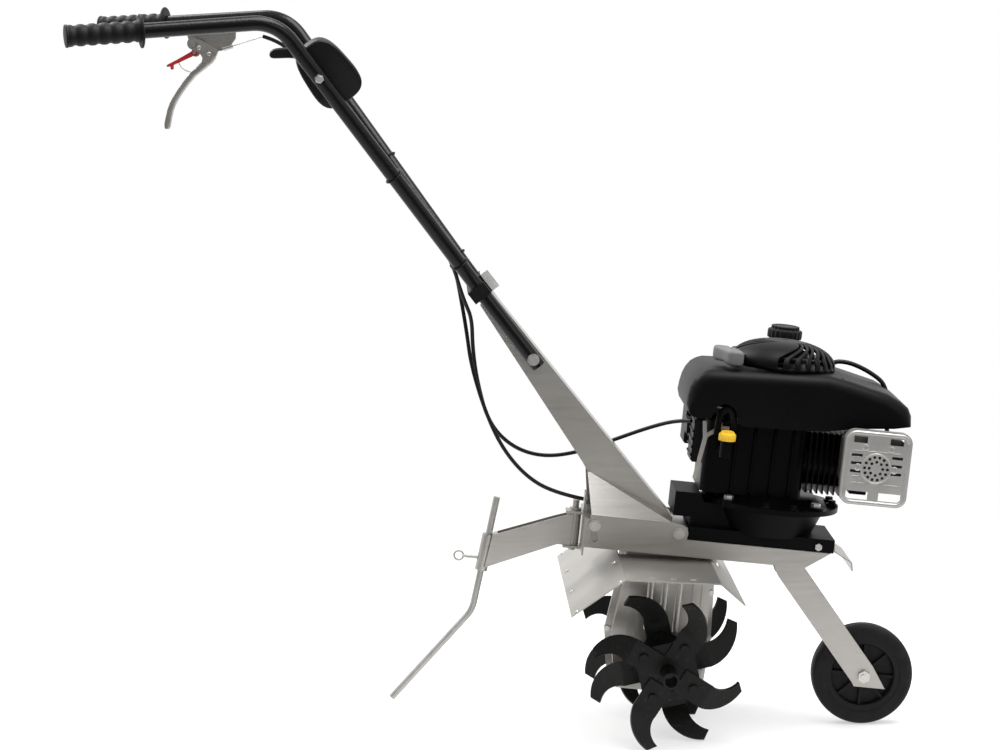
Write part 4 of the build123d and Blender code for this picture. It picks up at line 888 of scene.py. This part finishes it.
case_rows = []
for z, inset in ((11, 2), (12.5, 0.4), (15, 0), (30, 0), (33.5, 1.2), (35.8, 4), (36.9, 9)):
    row = []
    for k in range(case_steps):
        a = 2 * math.pi * k / case_steps
        round_x = math.copysign(abs(math.cos(a)) ** case_square, math.cos(a))
        round_y = math.copysign(abs(math.sin(a)) ** case_square, math.sin(a))
        taper = 1 - 0.12 * round_x
        x = case_mid.x + (case_half_long - inset) * round_x
        y = case_mid.y + (case_half_wide - inset) * round_y * taper
        row.append(on_case(x, y, z))
    case_rows.append(row)
housing = skin("throttle_case", case_rows, "handle", angle=40)
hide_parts("throttle_housing")
plastic.coat(housing)
spigot_profile = [(0, 6), (4, 5.4), (8, 4.4), (8.4, 3.2)]
spigot = lathe("throttle_spigot", on_case(-56, 3.1, 27), -climb, spigot_profile, "handle")
plastic.coat(spigot)
thumb_rest = Matrix.Rotation(math.radians(-36.5), 2)
thumb_face = 37.4
thumb_thick = 7
thumb_run = [(-12, 0, 3), (-9.5, 0, 7.5), (-4, 0.5, 11), (6, 2, 12), (24, 6.5, 10.5), (40, 10.4, 9),
             (50, 10.4, 8.4), (60, 7.4, 8), (70, 4, 8), (78, 1.2, 7.6), (82.5, -0.2, 6), (84.5, -0.8, 3)]
edge = [(-1, 0.25), (-0.8, 0), (0.8, 0), (1, 0.25), (1, 0.75), (0.8, 1), (-0.8, 1), (-1, 0.75)]
thumb = []
for x, middle, wide in thumb_run:
    ring = []
    for y, rise in edge:
        spot = thumb_rest @ Vector((x, middle + y * wide)) + case_mid
        ring.append(on_case(spot.x, spot.y, thumb_face + thumb_thick * rise))
    thumb.append(ring)
thumb_lever = skin("throttle_thumb", thumb, "throttle_lever", angle=40)
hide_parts("throttle_lever")
plastic.coat(thumb_lever)
bolt_profile = [(-1, 6.4), (0.6, 7), (0.8, 5.8), (4.8, 5.8), (5.2, 5), (5.2, 0.3)]
bolt = lathe("throttle_bolt", on_case(0, 0, -10.6), -inward, bolt_profile, "handle", 6, angle=25)
plated.coat(bolt)

# Control cables: black sheathed wires from the two controls, down the bars under their ties and in a loop
# behind the column. One ends at the stop on the hitch bracket and the other at the carburettor.
sheath = Surface("cable_sheath", "cable_sheath")
slick = sheath.place.noise(70)
sheath.set(
    base_color=slick.tint((0.002, 0.002, 0.002), (0.005, 0.005, 0.005)),
    roughness=0.35 + 0.15 * slick,
    specular_ior_level=0.25,
    normal=sheath.place.noise(500).bump(0.0002),
)


cable_r = 3.0
clutch_route = [(-698.6, 178.3, 864.4), (-680, 171, 861), (-655, 156, 849), (-614, 140, 819),
                (-551.5, 115.2, 748.5), (-487.5, 82.5, 680), (-421, 50.5, 614), (-383, 36, 573),
                (-370, 31, 545), (-360, 25, 512), (-346, 14, 462), (-334, 6, 411), (-306, 0, 344),
                (-274, -4, 290), (-232, -6, 250), (-187, -6, 231), (-144, -6, 226)]
throttle_route = [(-560, -96, 786), (-538, -87, 764), (-472, -76, 695), (-415, -50.5, 622), (-377, -31, 563),
                  (-364, -17, 530), (-353, -6, 506), (-340, 4, 482), (-334, 14, 436), (-322, 24, 386),
                  (-298, 36, 322), (-258, 46, 286), (-207, 54, 274), (-150, 57, 288), (-99, 52, 314),
                  (-51, 34, 340), (-14, 8, 358), (5, -12, 362)]
runs = []
for name, route, node in (("clutch_wire", clutch_route, "clutch_cable"),
                          ("throttle_wire", throttle_route, "throttle_cable")):
    wire, path = flexible(name, [at(*point) for point in route], cable_r)
    runs.append(path)
    sheath.coat(wire)
    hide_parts(node)
    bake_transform(wire)
inner_r = 0.9
inner_points = [by_bar(98, -43, 4.2), by_bar(66, -35.7, 4.2), at(*clutch_route[0])]
inner = flexible("clutch_inner", inner_points, inner_r)[0]
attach(inner, "handle")
plated.coat(inner)
tie_r = 1.6
tie_steps = 48
tube_r = 11
near_tie = 0.012
for side, path, shares in ((1, runs[0], (0.06, 0.44)), (-1, runs[1], (0.05, 0.4))):
    mirror = Vector((1, side, 1))
    foot = at(*(bar_bend * mirror))
    top = at(*(corner * mirror))
    run = way_of(foot, top)
    for number, share in enumerate(shares):
        spot = foot.lerp(top, share)
        gaps = [point - spot for point in path if abs((point - spot).dot(run)) < near_tie]
        beside = min((gap - run * gap.dot(run) for gap in gaps), key=lambda gap: gap.length)
        out = beside.normalized()
        over = run.cross(out)
        line = []
        for k in range(tie_steps):
            a = 2 * math.pi * k / tie_steps
            spoke = out * math.cos(a) + over * math.sin(a)
            round_bar = spoke * (tube_r + tie_r) / 1000
            round_wire = beside + spoke * (cable_r + tie_r) / 1000
            line.append(spot + max(round_bar, round_wire, key=lambda reach: reach.dot(spoke)))
        plastic.coat(hoop(f"cable_tie_{side + 1}_{number}", line, tie_r, run, "handle"))

# Spark lead: a thick ignition wire that rises out of the hood beside the dome, arches over the slope and
# goes in again through the hood to the boot on the spark plug.
lead_r = 3.5
lead_route = [(212, 44, 454), (214, 44, 466), (238, 44, 468), (262, 43, 461), (282, 43, 451.5),
              (296, 42, 442), (303, 40, 428), (306, 32, 404), (307, 18, 376), (306, 4, 350), (306, 0, 322)]
lead, lead_path = flexible("spark_wire", [at(*point) for point in lead_route], lead_r)
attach(lead, "chassis")
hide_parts("spark_lead")
sheath.coat(lead)
boot_profile = [(0, 9), (18, 9), (18, 8), (32, 8), (34, 10), (38, 10), (40, 8.6), (46, 8), (48, 6)]
boot = lathe("plug_boot", at(258, 0, 322), ahead, boot_profile, "chassis", turns=32)
rubber.coat(boot)

# Studio: a pale floor that fades out round the machine, a white surround that is darker low down on the
# machine's right, and three large soft panels. The camera looks slightly down from the machine's right.
floor_paint = Surface("floor_pale", None)
spread = floor_paint.place.node("VectorMath", "Value", {0: floor_paint.place}, operation="LENGTH")
floor_paint.set(
    base_color=floor_paint.place.noise(3).tint((0.48, 0.48, 0.48), (0.52, 0.52, 0.52)),
    roughness=0.9,
    specular_ior_level=0.1,
    emission_color=(1, 1, 1, 1),
    emission_strength=0.5,
    alpha=spread.step(2.0, 0.8),
)
floor_rings = []
spokes = [2 * math.pi * k / 48 for k in range(48)]
for radius in (0.0002, 0.5, 1, 1.5, 2, 2.5):
    floor_rings.append([Vector((radius * math.cos(a), radius * math.sin(a), -0.0005)) for a in spokes])
floor = skin("floor", floor_rings, None, caps=False)
floor.data.materials.append(floor_paint.material)
world = bpy.data.worlds.new("studio")
bpy.context.scene.world = world
world.use_nodes = True
sky = world.node_tree
toward = Wire(sky, sky.nodes.new("ShaderNodeTexCoord").outputs["Generated"])
across_view = toward.node("SeparateXYZ", "Y", {"Vector": toward})
height = toward.node("SeparateXYZ", "Z", {"Vector": toward})
depth = (across_view + 1.3 * height).step(-0.6, 0.2)
sky.links.new(depth.tint((0.25, 0.25, 0.25), (1, 1, 1)).socket, sky.nodes["Background"].inputs["Color"])
panels = (("key_panel", (-1.8, 1.6, 3.0), 2.0, 85), ("top_panel", (0.8, -0.4, 3.2), 2.0, 95),
          ("fill_panel", (2.6, -2.6, 1.8), 1.6, 12))
lit = Vector((0.1, 0, 0.4))
for name, place, width, power in panels:
    panel = bpy.data.lights.new(name, "AREA")
    panel.size = width
    panel.energy = power
    lamp = bpy.data.objects.new(name, panel)
    lamp.location = place
    lamp.rotation_mode = "QUATERNION"
    lamp.rotation_quaternion = way_of(Vector(place), lit).to_track_quat("-Z", "Y")
    bpy.context.scene.collection.objects.link(lamp)
lens = bpy.data.cameras.new("camera")
lens.sensor_width = 36
lens.lens = 109.8
camera = bpy.data.objects.new("camera", lens)
bpy.context.scene.collection.objects.link(camera)
target = Vector(joints["tine_spin"]["pos_m"]) + Vector((-0.2465, 0, 0.429))
azimuth = math.radians(-1.6)
elevation = math.radians(8.1)
flat = Vector((math.sin(azimuth), -math.cos(azimuth), 0)) * math.cos(elevation)
back = flat + Vector((0, 0, math.sin(elevation)))
distance = 4.6
camera.location = target + back * distance
camera.rotation_mode = "QUATERNION"
camera.rotation_quaternion = (-back).to_track_quat("-Z", "Y")
bpy.context.scene.camera = camera
bpy.context.scene.view_settings.view_transform = "Standard"
